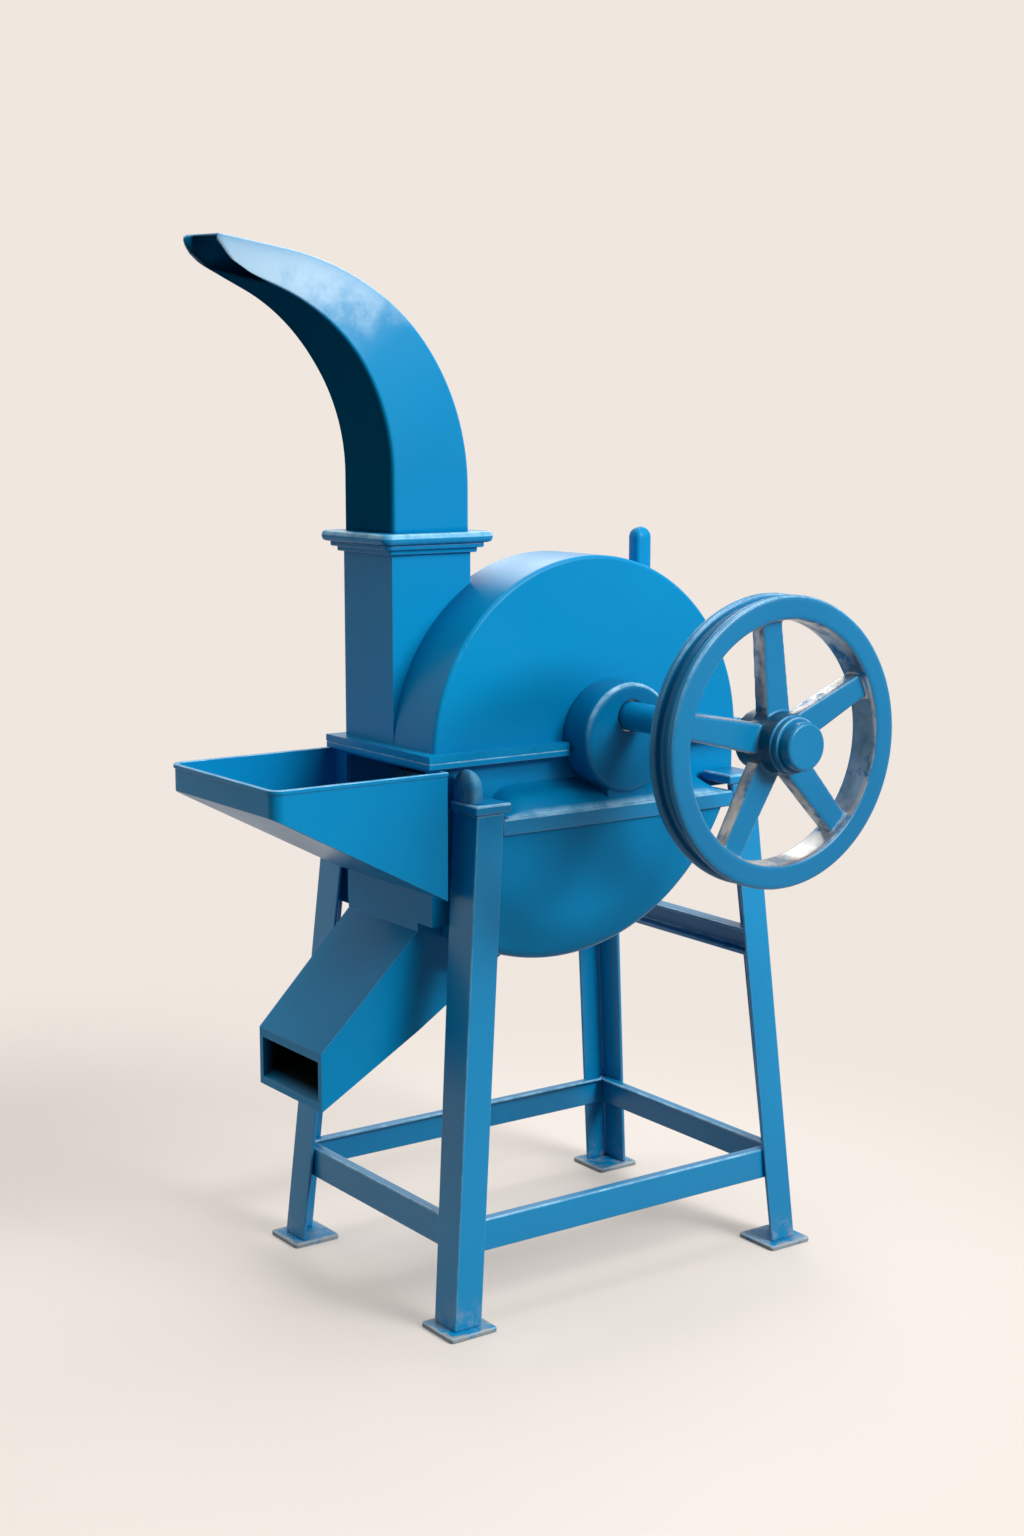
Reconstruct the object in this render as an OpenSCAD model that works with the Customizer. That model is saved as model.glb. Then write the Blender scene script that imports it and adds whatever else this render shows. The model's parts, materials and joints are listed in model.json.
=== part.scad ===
// Powered chaff cutter: a knife rotor and fan in a hinged drum casing on a four-legged frame.
// Millimetres, +Z up, feed tray towards -X, belt pulley towards -Y, origin on the floor at the middle
// of the machine's bounding box.

/* [Frame] */
// Half the spread of the legs along X at the floor, to their outer corners
foot_x = 267; // [250:1:300]
// Half the spread of the legs along Y at the floor, to their outer corners
foot_y = 200; // [196:1:230]
// Inward lean of each leg along X, per millimetre of height
lean_x = 0.09; // [0.07:0.005:0.1]
// Inward lean of each leg along Y, per millimetre of height
lean_y = 0.05; // [0.03:0.005:0.055]
// Width of the leg flange that faces the sides
leg_w = 38; // [34:1:46]
// Depth of the leg flange that faces the ends, at the floor
leg_d_foot = 44; // [40:1:50]
// Depth of the leg flange that faces the ends, at the top
leg_d_top = 52; // [44:1:54]
// Thickness of the leg angle
leg_t = 5; // [4:0.5:7]
// How far a leg stands above the rails
leg_above = 8; // [4:1:12]
// Side of a foot plate
foot_plate = 66; // [60:1:80]
// Thickness of a foot plate
foot_t = 6; // [4:1:10]
// How far a foot plate stands out past the leg
foot_over = 14; // [8:1:20]
// Thickness of a leg cap
cap_t = 12; // [8:1:14]
// Overhang of a leg cap past the leg
cap_over = 4; // [2:0.5:6]

/* [Rails and stretchers] */
// Height of the bearing rails' top face
rail_z = 601; // [590:1:612]
// Height of a rail's side lips
rail_h = 20; // [16:1:26]
// Thickness of a rail's walls
rail_t = 5; // [4:0.5:6]
// Height of the floor stretchers' top face
stretcher_z = 130; // [100:1:180]
// Height of a stretcher's upright flange
stretcher_h = 39; // [30:1:45]
// Width of a stretcher's flat flange
stretcher_w = 14; // [12:1:24]
// Thickness of a stretcher
stretcher_t = 4; // [3:0.5:6]
// Height of the rear channel's top face
channel_z = 418; // [380:1:430]
// Height of the rear channel
channel_h = 34; // [30:1:45]
// Depth of the rear channel's flanges
channel_d = 22; // [16:1:30]

/* [Drum casing] */
// Radius of the drum outside
drum_r = 230; // [226:1:236]
// Drum centre along X
drum_x = -8; // [-12:1:-4]
// Height of the drum's centre above the rails
drum_rise = 67; // [63:1:71]
// Distance of the drum's front face from the frame's middle
case_front = 118; // [117:1:124]
// Distance of the casing's back face from the frame's middle
case_back = 78; // [74:1:84]
// Depth of the drum behind its front face
drum_depth = 104; // [98:1:110]
// Thickness of the casing plate
plate = 3; // [2:0.5:4]
// Rounding of the drum's front edge
drum_round = 5; // [4:0.5:8]
// Radius of the fan chamber outside
fan_case_r = 168; // [166:1:172]
// Height of the split between cover and lower casing, above the drum's centre
split_rise = 1; // [0:0.5:4]
// Thickness of each split flange
flange_t = 8; // [6:0.5:9]
// Width of the split flanges outside the casing
flange_out = 18; // [12:1:20]
// How far the lower casing's sides are set back from the drum's front face
recess = 6; // [4:0.5:8]

/* [Catch casing and chute] */
// Radius of the round bottom
catch_r = 279; // [274:1:284]
// Centre of the round bottom along X
catch_x = -84; // [-90:1:-80]
// Height of the round bottom's centre above the drum's centre
catch_rise = 34; // [30:1:38]
// Rounding between the round bottom and its sides
catch_round = 12; // [8:1:16]
// End of the wide part of the catch casing along X
catch_end = -204; // [-206:1:-200]
// How far the catch casing's feed-end wall reaches below the rails
panel_drop = 131; // [127:1:135]
// Chute mouth: distance from the frame's middle along X
mouth_x = -366; // [-380:1:-350]
// Chute mouth: height of its upper edge
mouth_top = 328; // [320:1:336]
// Chute mouth: height of its lower edge
mouth_bottom = 257; // [250:1:266]
// Width of the chute where it leaves the casing
chute_w = 158; // [154:1:160]
// Width of the chute's mouth
mouth_w = 148; // [140:1:152]
// How far the chute's mouth is shifted towards the far side
mouth_shift = 6; // [0:1:8]
// How far below the catch casing's feed-end wall the chute's roof starts
chute_drop = 10; // [4:1:14]
// Thickness of the chute's walls
chute_t = 8; // [6:0.5:9]

/* [Feed tray] */
// Outer end of the tray along X
tray_x = -466; // [-480:1:-440]
// Near side of the tray
tray_near = -147; // [-152:1:-138]
// Far side of the tray
tray_far = 99; // [90:1:104]
// Depth of the tray at its outer end
tray_lip_h = 32; // [28:1:40]
// Depth of the tray where it meets the casing
tray_deep = 152; // [146:1:156]
// Thickness of the tray's walls
tray_t = 4; // [3:0.5:5]
// Width of the tray's rolled rim outside its walls
tray_rim = 2; // [1:0.5:4]
// Corner radius of the tray's outer end
tray_round = 14; // [10:1:20]

/* [Duct and spout] */
// Width of the duct along X
duct_w = 111; // [106:1:118]
// How far the duct reaches forward of the drum's back
duct_lap = 17; // [10:1:24]
// Height of the duct's top end above the drum
duct_over = 16; // [8:1:24]
// Thickness of the spout flange
spout_flange_t = 13; // [8:1:14]
// Overhang of the spout flange
spout_flange_out = 23; // [18:1:26]
// Thickness of each step of the duct collar
collar_t = 6; // [4:1:8]
// Overhang of each step of the duct collar
collar_out = 7; // [5:1:8]
// Straight rise of the spout's outer wall
rise_out = 52; // [44:1:60]
// First bend radius of the outer wall
bend_out_r = 268; // [258:1:278]
// First bend angle of the outer wall
bend_out_angle = 55; // [52:1:58]
// Second bend radius of the outer wall
sweep_r = 306; // [290:1:320]
// Second bend angle of the outer wall
sweep_angle = 25; // [22:1:28]
// Straight end of the outer wall
tip_run = 80; // [70:1:90]
// Straight rise of the spout's inner wall
rise_in = 68; // [60:1:76]
// Bend radius of the inner wall
bend_in_r = 229; // [220:1:236]
// Bend angle of the inner wall
bend_in_angle = 67; // [64:1:70]
// Straight end of the inner wall
tip_run_in = 68; // [60:1:76]
// Depth of the spout along Y at its tip
tip_d = 56; // [50:1:70]

/* [Shaft and bearings] */
// Shaft axis along X
shaft_x = 15; // [12:1:20]
// Height of the shaft axis above the drum's centre
shaft_rise = 39; // [36:1:42]
// Shaft radius
shaft_r = 17.5; // [15:0.5:19]
// Running clearance of the shaft in its bearings
run_gap = 0.05; // [0.02:0.01:0.1]
// Radius of a bearing housing
housing_r = 67; // [60:1:70]
// Depth of a bearing housing
housing_d = 47; // [40:1:49]
// How far a housing's round body is centred below the shaft
housing_drop = 26; // [20:1:28]
// Outer radius of a bearing insert
bearing_r = 34; // [30:1:36]
// Radius of the housing bolts
housing_bolt_r = 6; // [5:0.5:7]

/* [Pulley] */
// Pulley radius
pulley_r = 164; // [155:1:175]
// Distance of the pulley's front face from the frame's middle
pulley_front = 441; // [420:1:460]
// Width of the pulley rim
rim_w = 41; // [36:1:46]
// Radial thickness of the rim
rim_t = 28; // [22:1:32]
// Depth of the belt groove
groove_d = 11; // [8:1:13]
// Width of the belt groove at the outside
groove_w = 24; // [18:1:28]
// Spoke width at the hub
spoke_hub_w = 36; // [30:1:40]
// Spoke width at the rim
spoke_rim_w = 28; // [22:1:34]
// Spoke thickness along the shaft
spoke_t = 20; // [16:1:26]
// Turn of the first spoke above the X axis
spoke_turn = 24; // [0:1:72]
// Hub radius
hub_r = 34; // [30:1:40]
// Hub length
hub_l = 60; // [50:1:70]

/* [Rotor] */
// Radius of the knife tips and fan tips
rotor_r = 155; // [145:1:158]
// Radius of the rotor discs
rotor_disc_r = 120; // [110:1:130]
// Number of knives
knives = 3; // [2:1:4]
// Number of fan paddles
paddles = 4; // [3:1:6]
// Gap between the knife tips and the counter knife
knife_gap = 3; // [2:0.5:5]

/* [Hidden] */
$fn = 96;
far = 900;
cut = 1;
bolt_gap = 0.3;
seat_gap = 0.3;
paint = [0.11, 0.52, 0.75];
steel = [0.62, 0.64, 0.66];

// Legs, rails and stretchers
leg_top = rail_z + leg_above;
rail_y = foot_y - lean_y * rail_z;
low_front = case_front - recess;
rail_w = rail_y - low_front;
rail_half = foot_x - lean_x * rail_z - leg_w - seat_gap;
cap_x = foot_x - lean_x * leg_top;
cap_y = foot_y - lean_y * leg_top;
cap_w = leg_w + 3 * cap_over;
foot_soft = 5;
cap_soft = 3;
stretcher_x = foot_x - lean_x * stretcher_z - leg_t - seat_gap;
stretcher_y = foot_y - lean_y * stretcher_z - leg_t - seat_gap;
ear_w = 44;
ear_h = 38;
ear_t = 18;
ear_x = cap_soft / 2 - cap_x - cap_over;
ear_y = -case_front - seat_gap - ear_w / 2;

// Casing
drum_z = rail_z + drum_rise;
split_z = drum_z + split_rise;
shaft_z = drum_z + shaft_rise;
duct_z = drum_z + drum_r + duct_over;
split_low = split_z - flange_t;
drum_back = drum_depth - case_front;
wall_l = drum_x - drum_r;
wall_r = drum_x + drum_r;
duct_r = wall_l + duct_w;
duct_near = drum_back - duct_lap;
inside_y = [plate - low_front, case_back - plate];
low_floor = rail_z - rail_t + 1;
deck_t = 4;
slot_r = shaft_r + 6.5;
room_gap = 3;
lug_w = 24;
lug_t = 22;
lug_h = 72;
lug_x = 112;
lug_in = 40;
lug_sunk = 14;
weld_gap = 0.1;

// Catch casing and chute
catch_z = drum_z + catch_rise;
panel_z = rail_z - panel_drop;
skirt_y = rail_y - rail_t - 1;
skirt_top = rail_z - rail_t;
catch_edge = catch_x + sqrt(pow(catch_r, 2) - pow(catch_z - skirt_top, 2));
deck_lap = 10;
chute_mid = case_back - cut - chute_w / 2;
chute_in = 20;
chute_start = catch_x - chute_in;
roof_slope = (panel_z - chute_drop - mouth_top) / (wall_l - mouth_x);
floor_slope = (catch_z - catch_r - mouth_bottom) / (chute_start - mouth_x);

// Feed tray, bed, counter knife and screen
tray_z = split_low - 1;
tray_slope = (tray_deep - tray_lip_h) / (wall_l - tray_x);
rim_h = 5;
feed_edge = 6;
feed_near = feed_edge - low_front;
feed_far = case_back - feed_edge;
feed_top = split_low - feed_edge;
feed_low = tray_z - tray_deep + 2 * tray_t;
bed_t = 4;
bar_w = 45;
bar_t = 14;
bar_bevel = 6;
bar_drop = 79;
bar_z = shaft_z - bar_drop;
screen_gap = 11;
screen_r = rotor_r + screen_gap;
screen_t = 2.5;
screen_from = 235;
screen_lap = 0.6;
screen_to = 360 - asin((shaft_z - low_floor) / screen_r) - screen_lap;
hole_r = 6;
hole_turn = 15;
hole_step = 34;

// Spout: each wall is a path of [length, bend radius] pieces, radius 0 for a straight one
spout_z = duct_z + spout_flange_t;
outer_wall = [[rise_out, 0], [bend_out_r * bend_out_angle * PI / 180, bend_out_r],
  [sweep_r * sweep_angle * PI / 180, sweep_r], [tip_run, 0]];
inner_wall = [[rise_in, 0], [bend_in_r * bend_in_angle * PI / 180, bend_in_r], [tip_run_in, 0]];
spout_rings = 36;
taper_from = 0.62;
mouth_heel = 78;
mouth_wave = 4;
mouth_sag = 9;
mouth_clear = 80;

// Shaft line, measured along -Y from the frame's middle
housing_y = case_front + 1;
housing_face = 6;
housing_soft = 9;
foot_half = 28;
bolt_spread = 18;
bolt_l = 20;
bolt_head = 8;
pulley_mid = pulley_front - rim_w / 2;
hub_front = pulley_mid + hub_l / 2;
washer_t = 8;
washer_r = hub_r - 3;
hub_cap_t = 15;
hub_cap_r = hub_r - 7;
hub_cap_soft = 4;
nose = hub_front + washer_t + hub_cap_t;
shaft_back = housing_y + housing_d + 6;
key_w = 10;
key_h = 8;
key_end = 5;
spokes = 5;

// Rotor
disc_t = 8;
disc_gap = 18;
disc_near = disc_gap - case_front;
disc_far = drum_back - disc_t;
knife_t = 14;
knife_in = 92;
knife_bolt = 106;
screw_r = 4;
screw_head = 5;
paddle_t = 5;
paddle_in = 30;
paddle_gap = 10;
paddle_turn = 45;

// Hinge
knuckle_r = 9;
knuckle_l = 18;
pin_r = 5;
pin_head = 4;
pin_head_r = 7.5;
hinge_x = wall_r + flange_out + knuckle_r + seat_gap;
hinge_places = [-66, 32];
knuckle_step = knuckle_l + seat_gap;

// The model is drawn about the frame's middle and then moved to the middle of its bounding box
origin_x = (foot_x + foot_over + tray_x - tray_rim) / 2;
origin_y = (foot_y + foot_over - nose) / 2;

// Shape helpers

// Puts its children in the part's frame
module placed() translate([-origin_x, -origin_y, 0]) children();

// Turns a shape drawn along +Z so that it runs along +Y
module along_y() rotate([-90, 0, 0]) children();

// Draws a profile given as [x, z] and gives it depth along Y
module xz_plate(y, depth) translate([0, y + depth, 0]) rotate([90, 0, 0]) linear_extrude(depth) children();

// The same between the casing's side walls
module between_sides() xz_plate(inside_y[0], inside_y[1] - inside_y[0]) children();

// A box between two corners
module box(a, b) translate(a) cube(b - a);

// A disc with a rounded edge at its lower end
module round_disc(r, d, e) rotate_extrude() {
  square([r - e, d]);
  translate([0, e]) square([r, d - e]);
  translate([r - e, e]) circle(e, $fn = 48);
}

// A disc with both edges rounded, centred along its axis
module barrel(r, d, e) rotate_extrude() {
  translate([0, -d / 2]) square([r - e, d]);
  translate([0, e - d / 2]) square([r, d - 2 * e]);
  for (s = [-1, 1]) translate([r - e, s * (d / 2 - e)]) circle(e, $fn = 48);
}

// A rectangle with round corners, between two corners
module soft_rect(a, b, r) {
  translate(a + [r, 0]) square(b - a - [2 * r, 0]);
  translate(a + [0, r]) square(b - a - [0, 2 * r]);
  for (x = [a.x + r, b.x - r], y = [a.y + r, b.y - r]) translate([x, y]) circle(r, $fn = 48);
}

// A bar with a half-round top, drawn in the XY plane
module tongue(w, h) {
  translate([-w / 2, 0]) square([w, h - w / 2]);
  translate([0, h - w / 2]) intersection() {
    circle(w / 2, $fn = 64);
    translate([-w / 2, 0]) square([w, w / 2]);
  }
}

// Mirrors the near feed-end corner on to the corner named by its signs
module corner(sx, sy) mirror([sx > 0 ? 1 : 0, 0, 0]) mirror([0, sy > 0 ? 1 : 0, 0]) children();

// A shape about the shaft, drawn along +Z from the given place on the shaft
module on_shaft(y) translate([shaft_x, y, shaft_z]) along_y() children();

// Frame

module leg() {
  slant = norm([lean_x, lean_y, 1]);
  spare = 30;
  long = leg_top + spare;
  color(paint) intersection() {
    translate([-foot_x, -foot_y, 0]) rotate([-asin(lean_y / slant), atan(lean_x), 0]) {
      translate([0, 0, -spare]) cube([leg_w, leg_t, long + spare]);
      rotate([90, 0, 90]) linear_extrude(leg_t)
        polygon([[0, -spare], [leg_d_foot, -spare], [leg_d_top, long], [0, long]]);
    }
    box([-far, -far, foot_t], [far, far, leg_top]);
  }
}

module foot_plates() color(paint) for (sx = [-1, 1], sy = [-1, 1]) corner(sx, sy) linear_extrude(foot_t)
  translate([-foot_x - foot_over, -foot_y - foot_over])
    soft_rect([0, 0], [foot_plate, foot_plate], foot_soft);

module leg_caps() color(paint) for (sx = [-1, 1], sy = [-1, 1]) corner(sx, sy)
  translate([0, 0, leg_top]) linear_extrude(cap_t) soft_rect([-cap_x - cap_over, -cap_y - cap_over],
    [-cap_x - cap_over + cap_w, -case_front - seat_gap], cap_soft);

// An angle-iron stretcher with mitred ends: upright flange outside, flat flange on top
module stretcher(half_length) {
  module mitred(depth) polygon([[-half_length, 0], [half_length, 0], [half_length - depth, depth],
    [depth - half_length, depth]]);
  color(paint) {
    translate([0, 0, stretcher_z - stretcher_h]) linear_extrude(stretcher_h) mitred(stretcher_t);
    translate([0, 0, stretcher_z - stretcher_t]) linear_extrude(stretcher_t) mitred(stretcher_w);
  }
}

module stretcher_side() translate([0, -stretcher_y, 0]) stretcher(stretcher_x);

module stretcher_end() translate([-stretcher_x, 0, 0]) rotate([0, 0, -90]) stretcher(stretcher_y);

// A channel rail lying on its lips, with ends cut to the lean of the legs
module rail() color(paint) difference() {
  xz_plate(-rail_y, rail_w) polygon([[-rail_half, rail_z], [rail_half, rail_z],
    [rail_half + lean_x * rail_h, rail_z - rail_h], [-rail_half - lean_x * rail_h, rail_z - rail_h]]);
  box([-far, -rail_y + rail_t, rail_z - rail_h - cut], [far, -low_front - rail_t, rail_z - rail_t]);
  housing_bolt_places() cylinder(r = housing_bolt_r + bolt_gap, h = 3 * rail_t, center = true);
}

module rear_channel() {
  x = foot_x - lean_x * channel_z - leg_t - seat_gap;
  half = foot_y - lean_y * channel_z - leg_t - seat_gap;
  color(paint) difference() {
    box([x - channel_d, -half, channel_z - channel_h], [x, half, channel_z]);
    box([x - channel_d - cut, -half - cut, channel_z - channel_h + leg_t],
      [x - leg_t, half + cut, channel_z - leg_t]);
  }
}

module post_ear() color(paint) translate([ear_x, ear_y, leg_top + cap_t])
  rotate([90, 0, 90]) linear_extrude(ear_t) tongue(ear_w, ear_h);

// Lower casing

// The way through the casing for the shaft
module shaft_way() on_shaft(-far) cylinder(r = slot_r, h = 2 * far);

module split_flange(z) box([wall_l - flange_out, -case_front - flange_out, z],
  [wall_r + flange_out, case_back + flange_out, z + flange_t]);

// Room for the near bearing housing in the split flanges
module housing_room() box([shaft_x - housing_r - room_gap, -far, rail_z],
  [shaft_x + housing_r + room_gap, -case_front, split_z + flange_t + cut]);

// The inside of the lower casing between two heights, up to the given place along X
module low_inside(x, z0, z1) box([wall_l + plate, inside_y[0], z0], [x, inside_y[1], z1]);

module lower_casing() color(paint) difference() {
  union() {
    difference() {
      box([wall_l, -low_front, low_floor], [wall_r, case_back, split_low]);
      low_inside(wall_r - plate, low_floor + deck_t, split_z);
      low_inside(catch_edge - deck_lap, low_floor - cut, split_z);
    }
    split_flange(split_low);
    for (y = [-low_front, inside_y[1]]) intersection() {
      on_shaft(y) cylinder(r = screen_r, h = plate);
      box([-far, -far, 0], [far, far, low_floor]);
    }
    box([-rail_half, case_back, low_floor], [rail_half, low_front, low_floor + deck_t]);
  }
  low_inside(wall_r - plate, split_low - cut, split_z + cut);
  box([wall_l - cut, feed_near, 0], [wall_l + plate + cut, feed_far, feed_top]);
  shaft_way();
  housing_room();
}

// Catch casing

// The round bottom with softly turned edges, drawn solid
module catch_drum(inset) translate([catch_x, 0, catch_z]) rotate([90, 0, 0])
  barrel(catch_r - inset, 2 * (skirt_y - inset), catch_round - inset);

module catch_casing() color(paint) {
  difference() {
    intersection() {
      catch_drum(0);
      box([catch_end, -far, 0], [far, far, skirt_top]);
    }
    intersection() {
      catch_drum(plate);
      box([catch_end + plate, -far, 0], [far, far, far]);
    }
    chute_way();
    box([catch_end - cut, inside_y[0], panel_z + plate], [catch_end + plate + cut, inside_y[1], far]);
    for (s = [-1, 1]) corner(-1, s) box([0, -low_front - rail_t - seat_gap, rail_z - rail_h - seat_gap],
      [far, seat_gap - low_front, rail_z]);
  }
  difference() {
    box([wall_l, -low_front, panel_z], [catch_end, case_back, low_floor]);
    box([wall_l + plate, inside_y[0], panel_z + plate], [far, inside_y[1], far]);
    box([wall_l - cut, feed_near, feed_low], [wall_l + plate + cut, feed_far, far]);
    chute_way();
  }
}

// Discharge chute

function roof_z(x) = mouth_top + roof_slope * (x - mouth_x);
function floor_z(x) = mouth_bottom + floor_slope * (x - mouth_x);

// The chute between its roof and its floor, moved in by a wall and reaching past its two ends
module chute_body(wall, past) {
  drop = wall * norm([1, roof_slope]);
  lift = wall * norm([1, floor_slope]);
  out = mouth_x - past;
  start = chute_start - wall;
  side = wall_l + wall;
  half = chute_w / 2 - wall;
  half_mouth = mouth_w / 2 - wall;
  intersection() {
    xz_plate(-far, 2 * far) polygon([[side, panel_z + plate * past], [side, roof_z(side) - drop],
      [out, roof_z(out) - drop], [out, floor_z(out) + lift], [start, floor_z(start) + lift],
      [start, panel_z + plate * past]]);
    translate([0, chute_mid, 0]) linear_extrude(far) polygon([[0, -half], [wall_l, -half],
      [mouth_x, mouth_shift - half_mouth], [out, mouth_shift - half_mouth],
      [out, mouth_shift + half_mouth], [mouth_x, mouth_shift + half_mouth], [wall_l, half], [0, half]]);
  }
}

// The way out of the catch casing into the chute
module chute_way() chute_body(chute_t, 2);

module discharge_chute() color(paint) difference() {
  chute_body(0, 0);
  chute_way();
  intersection() {
    catch_drum(-seat_gap);
    box([catch_end - seat_gap, -far, 0], [far, far, far]);
  }
}

// Feed tray, bed, counter knife and screen

// Plan of the tray, moved in by a wall, with round corners at its outer end only
module tray_plan(wall) intersection() {
  soft_rect([tray_x + wall, tray_near + wall], [0, tray_far - wall], tray_round - wall);
  translate([-far, -far]) square([far + wall_l, 2 * far]);
}

// The tray's solid between two end planes, with its floor raised by a wall
module tray_body(wall, end, top) intersection() {
  rise = wall * norm([1, tray_slope]);
  out = tray_x + wall;
  xz_plate(-far, 2 * far) polygon([[out, top], [out, tray_z - tray_lip_h + rise],
    [end, tray_z - tray_deep + rise], [end, top]]);
  linear_extrude(far) tray_plan(wall);
}

module feed_tray() color(paint) difference() {
  union() {
    tray_body(0, wall_l, tray_z);
    translate([0, 0, tray_z - rim_h]) linear_extrude(rim_h) tray_plan(-tray_rim);
  }
  tray_body(tray_t, wall_l - tray_t, tray_z + cut);
  box([wall_l - tray_t - cut, feed_near, feed_low], [wall_l + cut, feed_far, feed_top]);
}

module feed_bed() color(steel) {
  start = [wall_l + plate, feed_low];
  end = [shaft_x, shaft_z] + (screen_r + screen_t) * [cos(screen_from), sin(screen_from)];
  between_sides() polygon([start, end, end - [0, bed_t], start - [0, bed_t]]);
}

module counter_knife() color(steel) {
  edge = shaft_x - sqrt(pow(rotor_r + knife_gap, 2) - pow(shaft_z - bar_z, 2));
  between_sides() polygon([[edge, bar_z], [edge - bar_w, bar_z], [edge - bar_w, bar_z - bar_t],
    [edge - bar_bevel, bar_z - bar_t]]);
}

// The perforated screen under the rotor
module screen() color(steel) translate([shaft_x, 0, shaft_z]) difference() {
  translate([0, case_back, 0]) rotate([90, 0, 0]) rotate([0, 0, screen_from])
    rotate_extrude(angle = screen_to - screen_from)
      translate([screen_r, 0]) square([screen_t, case_back + low_front]);
  for (a = [screen_from + hole_turn / 2 : hole_turn : screen_to], k = [-2 : 2])
    translate([0, (case_back - low_front) / 2 + hole_step * k, 0]) rotate([0, -a, 0])
      translate([screen_r - cut, 0, 0]) rotate([0, 90, 0])
        cylinder(r = hole_r, h = screen_t + 2 * cut, $fn = 24);
}

// Bearings

// Where the housing bolts stand in the near rail
module housing_bolt_places() for (s = [-1, 1])
  translate([shaft_x + s * bolt_spread, -housing_y - housing_d / 2, rail_z]) children();

module bearing_housing() color(paint) difference() {
  union() {
    translate([0, 0, -housing_drop]) on_shaft(-housing_y - housing_d)
      round_disc(housing_r, housing_d, housing_soft);
    box([shaft_x - foot_half, -housing_y - housing_d + housing_soft, rail_z],
      [shaft_x + foot_half, -housing_y, shaft_z - housing_drop]);
  }
  on_shaft(-housing_y - housing_d + housing_face) cylinder(r = bearing_r, h = housing_d);
  on_shaft(-housing_y - housing_d - cut) cylinder(r = shaft_r + 2, h = housing_d);
  housing_bolt_places() cylinder(r = housing_bolt_r + bolt_gap, h = 2 * bolt_l + 2 * bolt_gap, center = true);
}

module bearing() color(steel) difference() {
  on_shaft(-housing_y - housing_d + housing_face) cylinder(r = bearing_r, h = housing_d - housing_face);
  on_shaft(-far) cylinder(r = shaft_r + run_gap, h = 2 * far);
}

module housing_bolts() color(steel) for (s = [-1, 1]) corner(-1, s) housing_bolt_places() {
  translate([0, 0, -rail_t - bolt_head]) cylinder(r = 2 * housing_bolt_r, h = bolt_head, $fn = 6);
  translate([0, 0, -rail_t - cut]) cylinder(r = housing_bolt_r, h = rail_t + cut + bolt_l);
}

// Cover

// Drum, fan chamber and duct as one solid
module cover_solid() {
  translate([drum_x, -case_front, drum_z]) along_y() round_disc(drum_r, drum_depth, drum_round);
  on_shaft(drum_back - plate) cylinder(r = fan_case_r, h = case_back - drum_back + plate);
  box([wall_l, duct_near, split_z], [duct_r, case_back, duct_z]);
}

// The inside of drum, fan chamber and duct
module cover_void() {
  translate([drum_x, plate - case_front, drum_z]) along_y()
    round_disc(drum_r - plate, drum_depth - 2 * plate, drum_round - plate);
  on_shaft(drum_back - 2 * plate) cylinder(r = fan_case_r - plate, h = case_back - drum_back + plate);
  box([wall_l + plate, duct_near + plate, split_z - cut], [duct_r - plate, case_back - plate, duct_z + cut]);
}

module upper_casing() color(paint) difference() {
  intersection() {
    union() {
      cover_solid();
      split_flange(split_z);
    }
    box([-far, -far, split_z], [far, far, 2 * far]);
  }
  cover_void();
  shaft_way();
  box([shaft_x - slot_r, -far, split_z - cut], [shaft_x + slot_r, far, shaft_z]);
  housing_room();
}

// A lug with a round head, standing on the drum's rim
module cover_lug() color(paint) difference() {
  translate([drum_x + lug_x, 0, drum_z + sqrt(pow(drum_r, 2) - pow(lug_x, 2)) - lug_sunk])
    xz_plate(lug_in - case_front, lug_t) tongue(lug_w, lug_h);
  translate([drum_x, -far, drum_z]) along_y() cylinder(r = drum_r + weld_gap, h = 2 * far);
}

// One plate of the flanges stacked round the duct's end
module duct_ring(z, t, out, hole) translate([0, 0, z]) linear_extrude(t) difference() {
  soft_rect([wall_l - out, duct_near - out], [duct_r + out, case_back + out], out / 2 + 1);
  translate([wall_l + hole, duct_near + hole])
    square([duct_w - 2 * hole, case_back - duct_near - 2 * hole]);
}

module duct_collar() color(paint) {
  duct_ring(duct_z - 2 * collar_t, collar_t, collar_out, 0);
  duct_ring(duct_z - collar_t, collar_t, 2 * collar_out, 0);
}

module spout_flange() color(paint) duct_ring(duct_z, spout_flange_t, spout_flange_out, plate);

// Spout

function path_length(path) = [for (piece = path) 1] * [for (piece = path) piece[0]];

// Point and heading after d along a path that starts upwards and bends towards -X
function walk(path, d, i = 0, p = [0, 0], a = 0) =
  let (run = path[i][0], r = path[i][1], last = i == len(path) - 1, s = last ? d : min(d, run),
    turn = r == 0 ? 0 : s / r * 180 / PI,
    q = r == 0 ? p + s * [-sin(a), cos(a)] : p + r * [cos(a + turn) - cos(a), sin(a + turn) - sin(a)])
  last || d <= run ? [q, a + turn] : walk(path, d - run, i + 1, q, a + turn);

// One ring of the spout at fraction f of its length: the outer wall's corners, then the inner wall's
function spout_ring(f, inset) =
  let (o = walk(outer_wall, f * path_length(outer_wall)), n = walk(inner_wall, f * path_length(inner_wall)),
    taper = max(0, f - taper_from) / (1 - taper_from),
    narrow = taper * (case_back - duct_near - tip_d) / 2 + inset,
    near = duct_near + narrow, back = case_back - narrow,
    po = [duct_r, spout_z] + o[0] - inset * [cos(o[1]), sin(o[1])],
    pn = [wall_l, spout_z] + n[0] + inset * [cos(n[1]), sin(n[1])])
  [[po.x, near, po.y], [po.x, back, po.y], [pn.x, back, pn.y], [pn.x, near, pn.y]];

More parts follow.
